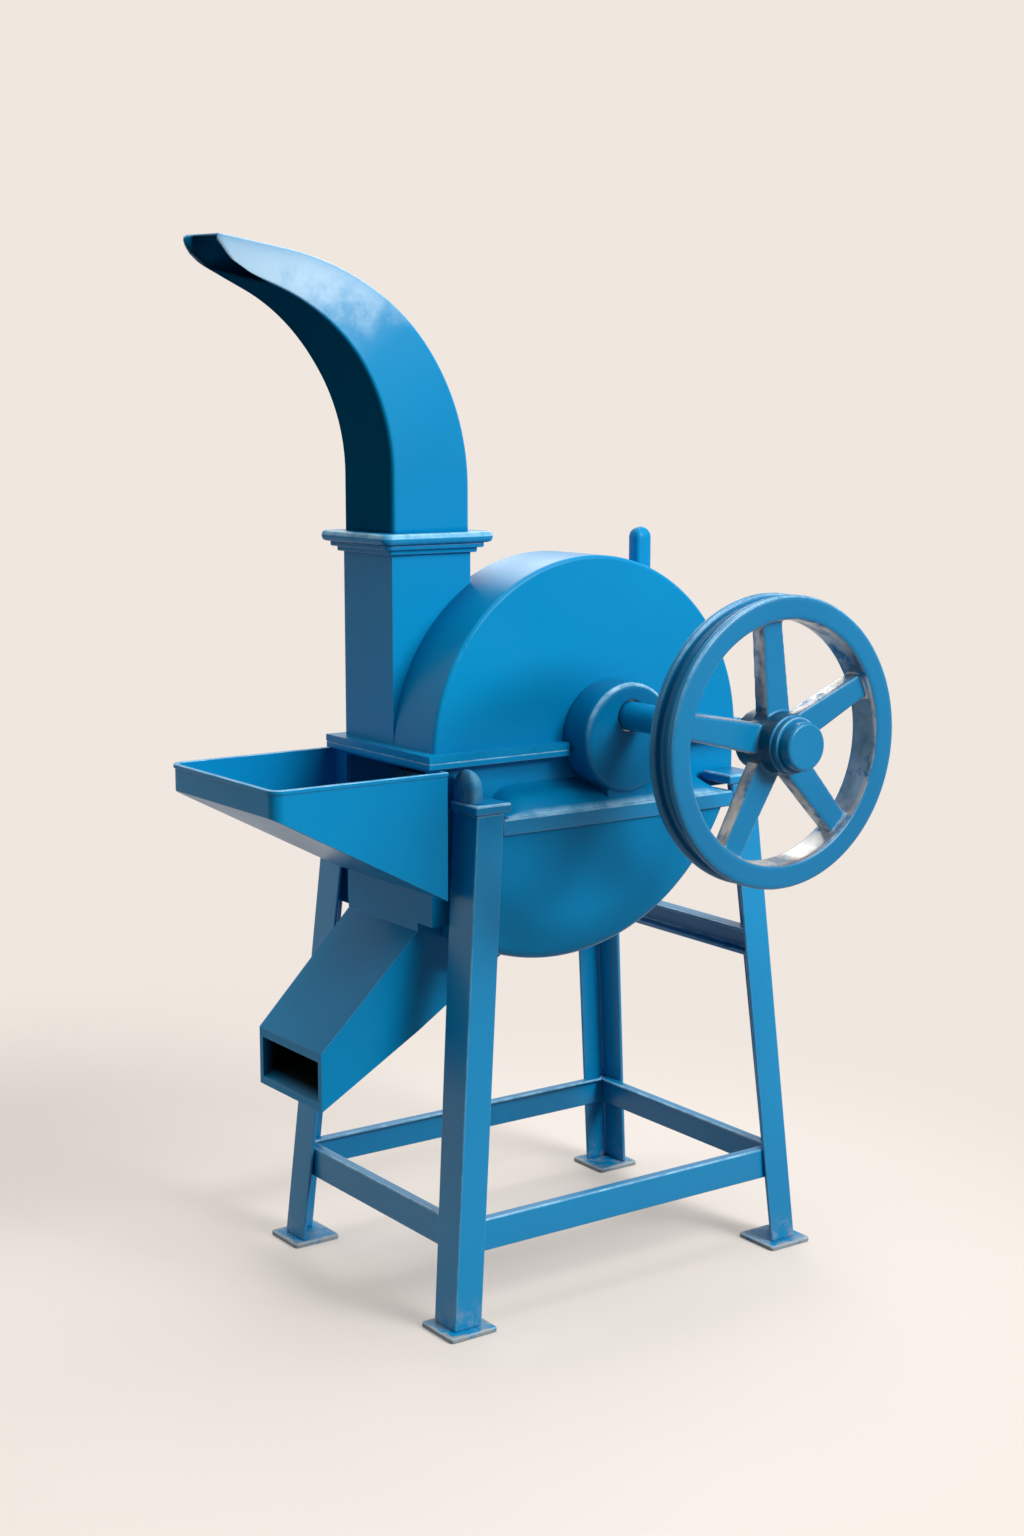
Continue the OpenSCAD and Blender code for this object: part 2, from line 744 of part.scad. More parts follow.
// The spout as one solid, from fraction f0 to fraction f1 of its length
module spout_solid(inset, f0, f1) {
  rings = [for (i = [0 : spout_rings]) spout_ring(f0 + (f1 - f0) * i / spout_rings, inset)];
  sides = [for (i = [0 : spout_rings - 1], k = [0 : 3]) let (a = 4 * i + k, b = 4 * i + (k + 1) % 4)
    each [[a, a + 4, b], [b, a + 4, b + 4]]];
  polyhedron([for (ring = rings) each ring],
    concat([[0, 1, 2, 3]], sides, [[for (k = [3 : -1 : 0]) 4 * spout_rings + k]]));
}

// The slanted cut of the spout's mouth, gently waved along its sides
module spout_mouth() {
  tip = [duct_r, spout_z + plate] + walk(outer_wall, path_length(outer_wall))[0];
  heel = [wall_l, spout_z - plate - cut] + walk(inner_wall, path_length(inner_wall) - mouth_heel)[0];
  xz_plate(-far, 2 * far) polygon(concat(
    [for (u = [0 : 1 / 16 : 1]) heel + (tip - heel) * u
      + [0, mouth_wave * sin(360 * u) - mouth_sag * sin(180 * u)]],
    [tip + [-mouth_clear, mouth_clear], heel + [-2 * mouth_clear, mouth_clear],
      heel + [-2 * mouth_clear, -mouth_clear], heel + [0, -mouth_clear / 2]]));
}

module spout() color(paint) difference() {
  spout_solid(0, 0, 1);
  spout_solid(plate, -0.01, 1.02);
  spout_mouth();
}

// Hinge

module knuckle(y) translate([hinge_x, y - knuckle_l / 2, split_z]) along_y() difference() {
  cylinder(r = knuckle_r, h = knuckle_l);
  translate([0, 0, -cut]) cylinder(r = pin_r + run_gap, h = knuckle_l + 2 * cut);
}

// A leaf between the split flange's edge and a knuckle, from one height to another
module hinge_leaf(y, z0, z1) difference() {
  box([wall_r + flange_out, y - knuckle_l / 2, z0], [hinge_x, y + knuckle_l / 2, z1]);
  translate([hinge_x, -far, split_z]) along_y() cylinder(r = (knuckle_r + pin_r) / 2, h = 2 * far);
}

module hinge_base_leaves() color(paint) for (y = hinge_places, s = [-1, 1]) {
  knuckle(y + s * knuckle_step);
  hinge_leaf(y + s * knuckle_step, split_low, split_z - seat_gap);
}

module hinge_cover_leaves() color(paint) for (y = hinge_places) {
  knuckle(y);
  hinge_leaf(y, split_z + seat_gap, split_z + flange_t);
}

module hinge_pins() color(steel) for (y = hinge_places)
  translate([hinge_x, y - knuckle_step - knuckle_l / 2 - pin_head, split_z]) along_y() {
    cylinder(r = pin_r, h = 2 * knuckle_step + knuckle_l + 2 * pin_head);
    cylinder(r = pin_head_r, h = pin_head);
  }

// Rotor

// The pulley's key between two places along the shaft, with room round it
module key_bar(y0, y1, gap) box([shaft_x - key_w / 2 - gap, y0, shaft_z + shaft_r - key_h / 2],
  [shaft_x + key_w / 2 + gap, y1, shaft_z + shaft_r + key_h / 2 + gap]);

module pulley_key() color(steel) key_bar(key_end - hub_front, hub_l - hub_front - key_end, 0);

module shaft() color(steel) difference() {
  on_shaft(-hub_front) cylinder(r = shaft_r, h = hub_front + shaft_back);
  key_bar(key_end - hub_front, hub_l - hub_front - key_end, 0);
}

module knife_places() for (k = [0 : knives - 1]) translate([shaft_x, 0, shaft_z])
  rotate([0, -360 / knives * k, 0]) children();

module knife_bolt_holes() knife_places() translate([knife_bolt, 0, 0]) rotate([90, 0, 0])
  cylinder(r = screw_r + bolt_gap, h = 2 * far, center = true, $fn = 48);

module rotor_disc(y) color(steel) difference() {
  on_shaft(y) cylinder(r = rotor_disc_r, h = disc_t);
  on_shaft(-far) cylinder(r = shaft_r + run_gap, h = 2 * far);
  knife_bolt_holes();
}

module knife_blades() color(steel) difference() {
  knife_places() xz_plate(disc_near + disc_t, disc_far - disc_near - disc_t)
    polygon([[knife_in, -knife_t / 2], [rotor_r - knife_t, -knife_t / 2], [rotor_r, knife_t / 2],
      [knife_in, knife_t / 2]]);
  knife_bolt_holes();
}

module knife_bolts() color(steel) knife_places() translate([knife_bolt, 0, 0]) {
  for (y = [disc_near - screw_head, disc_far + disc_t]) translate([0, y, 0]) along_y()
    cylinder(r = 2 * screw_r, h = screw_head, $fn = 6);
  translate([0, disc_near - cut, 0]) along_y()
    cylinder(r = screw_r, h = disc_far + disc_t - disc_near + 2 * cut, $fn = 48);
}

module fan_paddles() color(steel) for (k = [0 : paddles - 1]) translate([shaft_x, 0, shaft_z])
  rotate([0, paddle_turn + 360 / paddles * k, 0])
    box([paddle_in, drum_back, -paddle_t / 2], [rotor_r, inside_y[1] - paddle_gap, paddle_t / 2]);

// Pulley

// The rim's section with its belt groove, drawn as [radius, place along the shaft]
module rim_section() difference() {
  translate([pulley_r - rim_t, -rim_w / 2]) square([rim_t, rim_w]);
  polygon([[pulley_r + cut, groove_w / 2 + cut / 2], [pulley_r - groove_d, groove_w / 4],
    [pulley_r - groove_d, -groove_w / 4], [pulley_r + cut, -groove_w / 2 - cut / 2]]);
}

module spoke() translate([0, 0, -spoke_t / 2]) linear_extrude(spoke_t)
  polygon([[hub_r / 2, -spoke_hub_w / 2], [pulley_r - rim_t + cut, -spoke_rim_w / 2],
    [pulley_r - rim_t + cut, spoke_rim_w / 2], [hub_r / 2, spoke_hub_w / 2]]);

module pulley() color(paint) difference() {
  on_shaft(-pulley_mid) {
    rotate_extrude() rim_section();
    translate([0, 0, -hub_l / 2]) cylinder(r = hub_r, h = hub_l);
    for (k = [0 : spokes - 1]) rotate([0, 0, -spoke_turn - 360 / spokes * k]) spoke();
  }
  on_shaft(-far) cylinder(r = shaft_r + run_gap, h = 2 * far);
  key_bar(-far, 0, bolt_gap);
}

module hub_washer() color(paint) on_shaft(-hub_front - washer_t) cylinder(r = washer_r, h = washer_t);

module hub_cap() color(paint) on_shaft(-nose) round_disc(hub_cap_r, hub_cap_t, hub_cap_soft);

// Nodes

module leg_feed_near() leg();
module leg_feed_far() corner(-1, 1) leg();
module leg_rear_near() corner(1, -1) leg();
module leg_rear_far() corner(1, 1) leg();
module stretcher_near() stretcher_side();
module stretcher_far() corner(-1, 1) stretcher_side();
module stretcher_feed() stretcher_end();
module stretcher_rear() corner(1, -1) stretcher_end();
module rail_near() rail();
module rail_far() corner(-1, 1) rail();
module bearing_housing_near() bearing_housing();
module bearing_housing_far() corner(-1, 1) bearing_housing();
module bearing_near() bearing();
module bearing_far() corner(-1, 1) bearing();
module rotor_disc_near() rotor_disc(disc_near);
module rotor_disc_far() rotor_disc(disc_far);

placed() leg_feed_near();
placed() leg_feed_far();
placed() leg_rear_near();
placed() leg_rear_far();
placed() foot_plates();
placed() leg_caps();
placed() stretcher_near();
placed() stretcher_far();
placed() stretcher_feed();
placed() stretcher_rear();
placed() rail_near();
placed() rail_far();
placed() rear_channel();
placed() post_ear();
placed() lower_casing();
placed() catch_casing();
placed() discharge_chute();
placed() feed_tray();
placed() feed_bed();
placed() counter_knife();
placed() screen();
placed() hinge_base_leaves();
placed() hinge_pins();
placed() bearing_housing_near();
placed() bearing_housing_far();
placed() bearing_near();
placed() bearing_far();
placed() housing_bolts();
placed() upper_casing();
placed() cover_lug();
placed() duct_collar();
placed() spout_flange();
placed() spout();
placed() hinge_cover_leaves();
placed() shaft();
placed() rotor_disc_near();
placed() rotor_disc_far();
placed() knife_blades();
placed() knife_bolts();
placed() fan_paddles();
placed() pulley();
placed() pulley_key();
placed() hub_washer();
placed() hub_cap();
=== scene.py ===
# %% [markdown]
# # A belt-driven chaff cutter
# The machine chops straw: a spoked pulley turns a knife rotor and a fan inside a drum casing, fodder goes
# in over the tray, and the chopped straw leaves through the tall curved spout or the chute under the drum.
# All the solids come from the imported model, and this lesson dresses them: soft edges, satin blue paint,
# bare metal where the paint is worn, and the formed shapes that the plain solids only sketch.

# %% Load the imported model
import json
import math

import bmesh
import bpy
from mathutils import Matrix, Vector
from mathutils.bvhtree import BVHTree


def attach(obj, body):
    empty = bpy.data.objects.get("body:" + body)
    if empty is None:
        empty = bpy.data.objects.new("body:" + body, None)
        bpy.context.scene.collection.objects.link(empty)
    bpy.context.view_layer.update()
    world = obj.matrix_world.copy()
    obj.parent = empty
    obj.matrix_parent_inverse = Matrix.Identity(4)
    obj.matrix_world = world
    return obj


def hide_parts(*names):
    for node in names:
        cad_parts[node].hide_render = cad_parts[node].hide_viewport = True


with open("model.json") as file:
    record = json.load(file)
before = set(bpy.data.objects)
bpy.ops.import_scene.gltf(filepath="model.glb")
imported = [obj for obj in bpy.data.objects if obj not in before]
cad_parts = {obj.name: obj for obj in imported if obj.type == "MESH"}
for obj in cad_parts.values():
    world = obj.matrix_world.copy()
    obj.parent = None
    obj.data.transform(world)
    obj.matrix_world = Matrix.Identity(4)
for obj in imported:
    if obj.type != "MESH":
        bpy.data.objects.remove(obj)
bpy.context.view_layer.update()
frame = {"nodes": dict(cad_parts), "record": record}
MM = 0.001
BODY_OF = {}
for body_name, members in frame["record"]["behaviour"]["bodies"].items():
    for member in members:
        BODY_OF[member] = body_name
SLOT_OF = {row["node"]: row["material_slot"] for row in frame["record"]["subparts"]}

# %% [markdown]
# ## The camera
# The photograph looks at the feed end and the pulley side from a little above the drum. A camera fitted to
# the corners of the feet, the tray and the drum gives its place. Sizes are first written from the middle of
# the four legs, in millimetres, and `place` moves them to the model's own origin. A fitted camera was
# chosen over one set by eye, because sizes can then be read from the picture.

# %% Camera
LEGS_MIDDLE = Vector((93.5, 129.75, 0.0))
CAMERA_TURN, CAMERA_RISE = math.radians(-35.29), math.radians(9.19)
CAMERA_DISTANCE = 2.757
FOCAL_PIXELS, IMAGE_LONG, SENSOR = 2200, 1536, 36.0


def place(x, y, z):
    """A point in millimetres from the middle of the legs, in the model's own frame in metres."""
    return (Vector((x, y, z)) + LEGS_MIDDLE) * MM


def add_object(name, data):
    """Puts new data in the scene as an object at the origin."""
    thing = bpy.data.objects.new(name, data)
    bpy.context.scene.collection.objects.link(thing)
    return thing


CAMERA_TARGET = place(-43.8, 0, 627.2)
towards_camera = Vector((math.sin(CAMERA_TURN) * math.cos(CAMERA_RISE),
                         -math.cos(CAMERA_TURN) * math.cos(CAMERA_RISE), math.sin(CAMERA_RISE)))
camera_data = bpy.data.cameras.new("camera")
camera_data.sensor_width = SENSOR
camera_data.lens = FOCAL_PIXELS / IMAGE_LONG * SENSOR
camera = add_object("camera", camera_data)
camera.location = CAMERA_TARGET + towards_camera * CAMERA_DISTANCE
camera.rotation_mode = "QUATERNION"
camera.rotation_quaternion = (-towards_camera).to_track_quat("-Z", "Y")
bpy.context.scene.camera = camera
print("camera at", [round(v, 3) for v in camera.location], "lens", round(camera_data.lens, 2))

# %% [markdown]
# ## Short calls for materials
# A material in Blender is a tree of nodes. Written out in full, each node takes several lines, so a small
# class adds nodes and links them in one call. The three functions before it also serve the shape trees, the
# floor and the world.

# %% Material helpers


def feed(tree, socket, value):
    """Links another node's output to a socket, or writes a plain value into it."""
    if isinstance(value, bpy.types.NodeSocket):
        tree.links.new(value, socket)
    else:
        socket.default_value = value


def math_node(tree, operation, *values):
    """One step of arithmetic on numbers or on other nodes' outputs."""
    node = tree.nodes.new("ShaderNodeMath")
    node.operation = operation
    for socket, value in zip(node.inputs, values):
        feed(tree, socket, value)
    return node.outputs[0]


def ramp_node(tree, value, low, high, out_low=0.0, out_high=1.0):
    """A smooth step from one output value to another, between two input values."""
    node = tree.nodes.new("ShaderNodeMapRange")
    node.interpolation_type = "SMOOTHSTEP"
    names = ("Value", "From Min", "From Max", "To Min", "To Max")
    for name, number in zip(names, (value, low, high, out_low, out_high)):
        feed(tree, node.inputs[name], number)
    return node.outputs["Result"]


class Finish:
    """A small helper that adds nodes to one material and links them."""

    def __init__(self, name):
        self.material = bpy.data.materials.new(name)
        self.material.use_nodes = True
        self.tree = self.material.node_tree
        self.shader = self.tree.nodes["Principled BSDF"]
        self.coords = self.add("ShaderNodeTexCoord").outputs["Object"]

    def add(self, kind, **inputs):
        node = self.tree.nodes.new(kind)
        for key, value in inputs.items():
            feed(self.tree, node.inputs[key.replace("_", " ")], value)
        return node

    def noise(self, scale, detail=3.0, roughness=0.5, stretch=(1, 1, 1)):
        mapping = self.add("ShaderNodeMapping", Vector=self.coords, Scale=stretch)
        node = self.add("ShaderNodeTexNoise", Vector=mapping.outputs[0], Scale=scale, Detail=detail,
                        Roughness=roughness)
        return node.outputs["Fac"]

    def ramp(self, *values):
        return ramp_node(self.tree, *values)

    def math(self, operation, *values):
        return math_node(self.tree, operation, *values)

    def mix(self, factor, a, b):
        node = self.tree.nodes.new("ShaderNodeMix")
        node.data_type = "RGBA"
        for key, value in ((0, factor), (6, a), (7, b)):
            feed(self.tree, node.inputs[key], value)
        return node.outputs[2]

    def attribute(self, name):
        node = self.tree.nodes.new("ShaderNodeAttribute")
        node.attribute_name = name
        return node.outputs["Fac"]

    def axis(self, letter):
        return self.add("ShaderNodeSeparateXYZ", Vector=self.coords).outputs[letter]

    def bump(self, layers):
        """Stacks bump layers given as (height, distance in metres)."""
        normal = None
        for value, distance in layers:
            node = self.add("ShaderNodeBump", Height=value, Distance=distance, Strength=1.0)
            if normal is not None:
                feed(self.tree, node.inputs["Normal"], normal)
            normal = node.outputs["Normal"]
        feed(self.tree, self.shader.inputs["Normal"], normal)

    def shade(self, **inputs):
        for key, value in inputs.items():
            feed(self.tree, self.shader.inputs[key.replace("_", " ")], value)
        return self.material


print("material helper", Finish.__name__)

# %% [markdown]
# ## Blue paint
# The whole machine wears one coat of blue machine enamel. It is dull on the sheet metal, glossier on the
# angle iron of the frame and on the pulley, and a little deeper in tone on the iron castings. The real coat
# is not one flat colour: it is uneven in tone, slightly wavy, partly rubbed light on the edges and dusty
# near the floor. Painted images could show this, but they need unwrapped parts and files of their own. Noise
# patterns on Object coordinates need neither, and nothing slides when a part moves. Four attributes on the
# meshes steer them. `edge` marks rounded edges, which the paint lightens, partly as rubbed paint and partly
# as a painted highlight that is strongest where the edge looks up. `bare` marks places that the spray never
# reached, where the grey casting shows. `hollow` marks where the paint is darkened: painted shade inside the
# chute, under the spout and inside its lip, and a darker tone in the corners round the pulley's hub. `chalk`
# marks the outside of the spout, whose top gets a pale, cloudy painted sheen.

# %% Paint colours and patterns
BLUE = (0.0, 0.245, 0.510, 1.0)
BLUE_DEEP = (0.0, 0.212, 0.450, 1.0)
IRON_BLUE = (0.0, 0.195, 0.415, 1.0)
IRON_DEEP = (0.0, 0.165, 0.360, 1.0)
PULLEY_BLUE = (0.0, 0.172, 0.365, 1.0)
PULLEY_DEEP = (0.0, 0.142, 0.310, 1.0)
# The pale edge blue serves rubbed paint and a painted highlight on edges that look up.
BLUE_EDGE_HIGHLIGHT = (0.420, 0.740, 0.920, 1.0)
# The next two are dark paints: navy for painted shade in and under the spout and for a darker tone round the
# hub, black for painted shade inside the chute.
DARK_NAVY = (0.0, 0.026, 0.055, 1.0)
SHADE_BLACK = (0.0, 0.001, 0.002, 1.0)
BLUE_WORN = (0.110, 0.290, 0.430, 1.0)
DUST = (0.42, 0.40, 0.36, 1.0)
# The pale blue below is a painted sheen on the top of the spout.
SHEEN_COLOUR = (0.55, 0.74, 0.87, 1.0)
BARE = (0.56, 0.56, 0.55, 1.0)
BARE_DARK = (0.22, 0.21, 0.20, 1.0)
FOOT_X, FOOT_Y, FOOT_HALF = 0.248, 0.181, 0.033
RIM_START, RIM_FULL, RIM_RAGGED, RIM_DUST = 0.007, 0.001, 0.006, 0.75
SPLASH_LOW, SPLASH_HIGH, SPLASH_DUST = 0.004, 0.05, 0.45
SHEEN_LOW, SHEEN_HIGH, SHEEN_RAGGED = 1.158, 1.228, 0.028
MOUTH_BEFORE, MOUTH_BEHIND = 0.004, 0.016
EDGE_SHARE, EDGE_LEAST = 0.80, 0.40
SATIN_LOW, SATIN_HIGH, DUST_ROUGH = 0.285, 0.335, 0.35
BARE_METALLIC = 0.85
WAVES, WAVE_HEIGHT = (3.2, 2.0), 0.0030
GRAIN, GRAIN_HEIGHT = (160.0, 1.0), 0.00004
# Each pattern: noise scale, detail, roughness, and the two noise values between which it fades in.
PATTERN = {
    "tone": (3.5, 1.0, 0.4, 0.3, 0.7),
    "wear": (70.0, 5.0, 0.7, 0.35, 0.65),
    "edge rub and sheen": (38.0, 5.0, 0.65, 0.38, 0.60),
    "splashes": (55.0, 6.0, 0.7, 0.42, 0.66),
    "foot rim": (60.0, 5.0, 0.7, 0.25, 0.75),
    "cloud": (14.0, 6.0, 0.65, 0.25, 0.75),
    "missed spray": (26.0, 6.0, 0.7, 0.36, 0.52),
    "casting": (20.0, 3.0, 0.5, 0.3, 0.65),
    "satin": (9.0, 1.0, 0.4, 0.3, 0.7),
    "steel tone": (30.0, 5.0, 0.65, 0.3, 0.7),
}
print("patterns", ", ".join(PATTERN))

# %% Blue enamel


def pattern(f, name, out_low=0.0, out_high=1.0):
    """One named noise pattern, faded from one value to another."""
    scale, detail, roughness, low, high = PATTERN[name]
    return f.ramp(f.noise(scale, detail, roughness), low, high, out_low, out_high)


def foot_rim(f):
    """Dust along the edges of the four foot plates, with a ragged inner border."""
    across = f.math("ABSOLUTE", f.math("SUBTRACT", f.axis("X"), LEGS_MIDDLE.x * MM))
    along = f.math("ABSOLUTE", f.math("SUBTRACT", f.axis("Y"), LEGS_MIDDLE.y * MM))
    off = f.math("MAXIMUM", f.math("ABSOLUTE", f.math("SUBTRACT", across, FOOT_X)),
                 f.math("ABSOLUTE", f.math("SUBTRACT", along, FOOT_Y)))
    ragged = f.math("ADD", off, pattern(f, "foot rim", -RIM_RAGGED, RIM_RAGGED))
    return f.ramp(ragged, FOOT_HALF - RIM_START, FOOT_HALF - RIM_FULL, 0.0, RIM_DUST)


def enamel(name, coats=(BLUE, BLUE_DEEP), worn=0.0, feet=False, mouth=None, dark_colour=DARK_NAVY, gloss=0.12):
    """Blue enamel. `mouth` is the X of an open end, behind which the marked inside takes the dark colour as
    painted shade.
    """
    f = Finish(name)
    coat = f.mix(pattern(f, "tone"), *coats)
    if worn:
        coat = f.mix(pattern(f, "wear", 0.3 * worn, worn), coat, BLUE_WORN)
    # Rounded edges turn pale: partly rubbed paint, partly a painted highlight where they look up.
    edge = f.math("MULTIPLY", f.attribute("edge"), pattern(f, "edge rub and sheen", EDGE_LEAST, 1.0))
    coat = f.mix(f.math("MULTIPLY", edge, EDGE_SHARE), coat, BLUE_EDGE_HIGHLIGHT)
    low = f.ramp(f.axis("Z"), SPLASH_LOW, SPLASH_HIGH, SPLASH_DUST, 0.0)
    dirt = f.math("MULTIPLY", low, pattern(f, "splashes"))
    if feet:
        dirt = f.math("MAXIMUM", dirt, foot_rim(f))
    coat = f.mix(dirt, coat, DUST)
    # A pale, cloudy painted sheen on the upper outside of the spout, rising with height.
    cloud = f.math("ADD", f.axis("Z"), pattern(f, "cloud", -SHEEN_RAGGED, SHEEN_RAGGED))
    chalk = f.math("MULTIPLY", f.attribute("chalk"), f.ramp(cloud, SHEEN_LOW, SHEEN_HIGH))
    coat = f.mix(chalk, coat, SHEEN_COLOUR)
    # Painted shade where `hollow` is set: under the spout, inside its lip and inside the chute behind its
    # mouth; round the pulley's hub a darker tone.
    dark_share = f.attribute("hollow")
    if mouth is not None:
        dark_share = f.math("MULTIPLY", dark_share, f.ramp(f.axis("X"), mouth - MOUTH_BEFORE, mouth + MOUTH_BEHIND))
    coat = f.mix(dark_share, coat, dark_colour)
    skipped = f.math("MULTIPLY", f.attribute("bare"), pattern(f, "missed spray"))
    coat = f.mix(skipped, coat, f.mix(pattern(f, "casting"), BARE_DARK, BARE))
    satin = pattern(f, "satin", SATIN_LOW, SATIN_HIGH)
    f.bump([(f.noise(*WAVES), WAVE_HEIGHT), (f.noise(*GRAIN), GRAIN_HEIGHT)])
    return f.shade(Base_Color=coat, Roughness=f.math("ADD", satin, f.math("MULTIPLY", dirt, DUST_ROUGH)),
                   Metallic=f.math("MULTIPLY", skipped, BARE_METALLIC), Specular_IOR_Level=gloss)


blue = enamel("blue_enamel")
blue_iron = enamel("blue_enamel_on_iron", (IRON_BLUE, IRON_DEEP))
blue_pulley = enamel("blue_enamel_pulley", (PULLEY_BLUE, PULLEY_DEEP), gloss=0.30)
# A copy of the blue without gloss, for the spout's faces with painted shade.
blue_shaded = enamel("blue_enamel_sooty", gloss=0.0)
blue_frame = enamel("blue_enamel_frame", gloss=0.36)
blue_worn = enamel("blue_enamel_worn", worn=0.85)
blue_feet = enamel("blue_enamel_feet", feet=True)
paints = (blue, blue_iron, blue_pulley, blue_shaded, blue_frame, blue_worn, blue_feet)
print("paints", [paint.name for paint in paints])

# %% [markdown]
# ## Bare steel
# The rotor inside, the screen, the bearings and the bolts are bare steel, grey and finely scratched. Real
# scratches are far too fine to model, so noise that is squeezed along one axis changes the roughness and
# the bump instead.

# %% Bare steel
STEEL_DARK, STEEL_LIGHT = (0.30, 0.30, 0.31, 1.0), (0.50, 0.50, 0.50, 1.0)
STEEL_SMOOTH, STEEL_ROUGH, STEEL_METALLIC = 0.28, 0.48, 0.9
SCUFFS, SCRATCHES, SCRATCH_HEIGHT = (60.0, 4.0, 0.6, (1, 8, 1)), (300.0, 3.0, 0.6, (1, 6, 1)), 0.00005


def bare_steel(name):
    """Grey steel with fine scratches, close together along Y."""
    f = Finish(name)
    tone = f.mix(pattern(f, "steel tone"), STEEL_DARK, STEEL_LIGHT)
    rough = f.ramp(f.noise(*SCUFFS), 0.3, 0.7, STEEL_SMOOTH, STEEL_ROUGH)
    f.bump([(f.noise(*SCRATCHES), SCRATCH_HEIGHT)])
    return f.shade(Base_Color=tone, Roughness=rough, Metallic=STEEL_METALLIC)


steel = bare_steel("bare_steel")
print("metal", steel.name)

# %% [markdown]
# ## Geometry Nodes helper
# Two pieces follow a rule rather than a drawing, the spout and the pulley, so each is a node tree with its
# sizes as named inputs. A small class keeps the trees short to write. `modified` runs modifiers on a mesh
# and returns the plain result, and `grown` does the same for a tree, whose inputs it sets by their
# identifiers.

# %% Node tree helper


class Tree:
    """A geometry node tree with named inputs, and short calls for adding and linking nodes."""

    def __init__(self, name, sizes):
        self.group = bpy.data.node_groups.new(name, "GeometryNodeTree")
        face = self.group.interface
        face.new_socket("Geometry", in_out="INPUT", socket_type="NodeSocketGeometry")
        for label, value in sizes.items():
            kind = "NodeSocketInt" if isinstance(value, int) else "NodeSocketFloat"
            face.new_socket(label, in_out="INPUT", socket_type=kind).default_value = value
        face.new_socket("Material", in_out="INPUT", socket_type="NodeSocketMaterial")
        face.new_socket("Geometry", in_out="OUTPUT", socket_type="NodeSocketGeometry")
        self.inputs = self.group.nodes.new("NodeGroupInput").outputs
        self.result = self.group.nodes.new("NodeGroupOutput")

    def add(self, kind, settings=None, **values):
        node = self.group.nodes.new(kind)
        for key, value in (settings or {}).items():
            setattr(node, key, value)
        for key, value in values.items():
            feed(self.group, node.inputs[key.replace("_", " ")], value)
        return node.outputs[0]

    def math(self, operation, *values):
        return math_node(self.group, operation, *values)

    def blend(self, factor, a, b):
        """a where the factor is 0, b where it is 1."""
        return self.math("ADD", a, self.math("MULTIPLY", factor, self.math("SUBTRACT", b, a)))

    def clamp(self, value):
        return self.math("MINIMUM", self.math("MAXIMUM", value, 0.0), 1.0)

    def vector(self, x, y, z):
        return self.add("ShaderNodeCombineXYZ", X=x, Y=y, Z=z)

    def parts(self, vector):
        """The outputs X, Y and Z of a vector."""
        node = self.group.nodes.new("ShaderNodeSeparateXYZ")
        feed(self.group, node.inputs[0], vector)
        return node.outputs

    def join(self, *pieces):
        node = self.group.nodes.new("GeometryNodeJoinGeometry")
        for piece in pieces:
            self.group.links.new(piece, node.inputs[0])
        return node.outputs[0]

    def store(self, geometry, name, value):
        return self.add("GeometryNodeStoreNamedAttribute", {"data_type": "FLOAT", "domain": "POINT"},
                        Geometry=geometry, Name=name, Value=value)

    def end(self, geometry):
        whole = self.add("GeometryNodeRealizeInstances", Geometry=geometry)
        painted = self.add("GeometryNodeSetMaterial", Geometry=whole, Material=self.inputs["Material"])
        feed(self.group, self.result.inputs[0], painted)


print("shape helper", Tree.__name__)

# %% From modifiers to meshes


def modified(mesh, modifiers):
    """Runs modifiers, each a kind, its settings and any tree inputs, and returns the plain result."""
    holder = add_object("holder", mesh)
    for kind, settings, *sockets in modifiers:
        modifier = holder.modifiers.new(kind.lower(), kind)
        for key, value in settings.items():
            setattr(modifier, key, value)
        for identifier, value in dict(*sockets).items():
            modifier[identifier] = value
    bpy.context.view_layer.update()
    result = bpy.data.meshes.new_from_object(holder.evaluated_get(bpy.context.evaluated_depsgraph_get()))
    bpy.data.objects.remove(holder)
    bpy.data.meshes.remove(mesh)
    return result


def grown(tree, material, sizes, after=()):
    """Evaluates a tree with the given sizes, then the modifiers in `after`, and returns a plain mesh."""
    values = {**sizes, "Material": material}
    sockets = {item.identifier: values[item.name] for item in tree.group.interface.items_tree
               if item.in_out == "INPUT" and item.name in values}
    return modified(bpy.data.meshes.new("seed"), [("NODES", {"node_group": tree.group}, sockets), *after])


print("mesh helpers", modified.__name__, grown.__name__)

# %% [markdown]
# ## Putting a piece in the scene
# Every dressed piece stands at the origin, rides on the body that carries its solid, takes a material and
# hides that solid. One function does this for all of them, so that no piece can end up on the wrong body.

# %% Dressing one solid
dressed = {}


def dress(node, mesh, material):
    """Puts a finished mesh in the scene in the place of one solid."""
    mesh.name = "dressed_" + node
    mesh.materials.clear()
    mesh.materials.append(material)
    piece = add_object("dressed_" + node, mesh)
    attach(piece, BODY_OF[node])
    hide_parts(node)
    dressed[node] = piece
    return piece


print("solids to dress", len(frame["nodes"]))
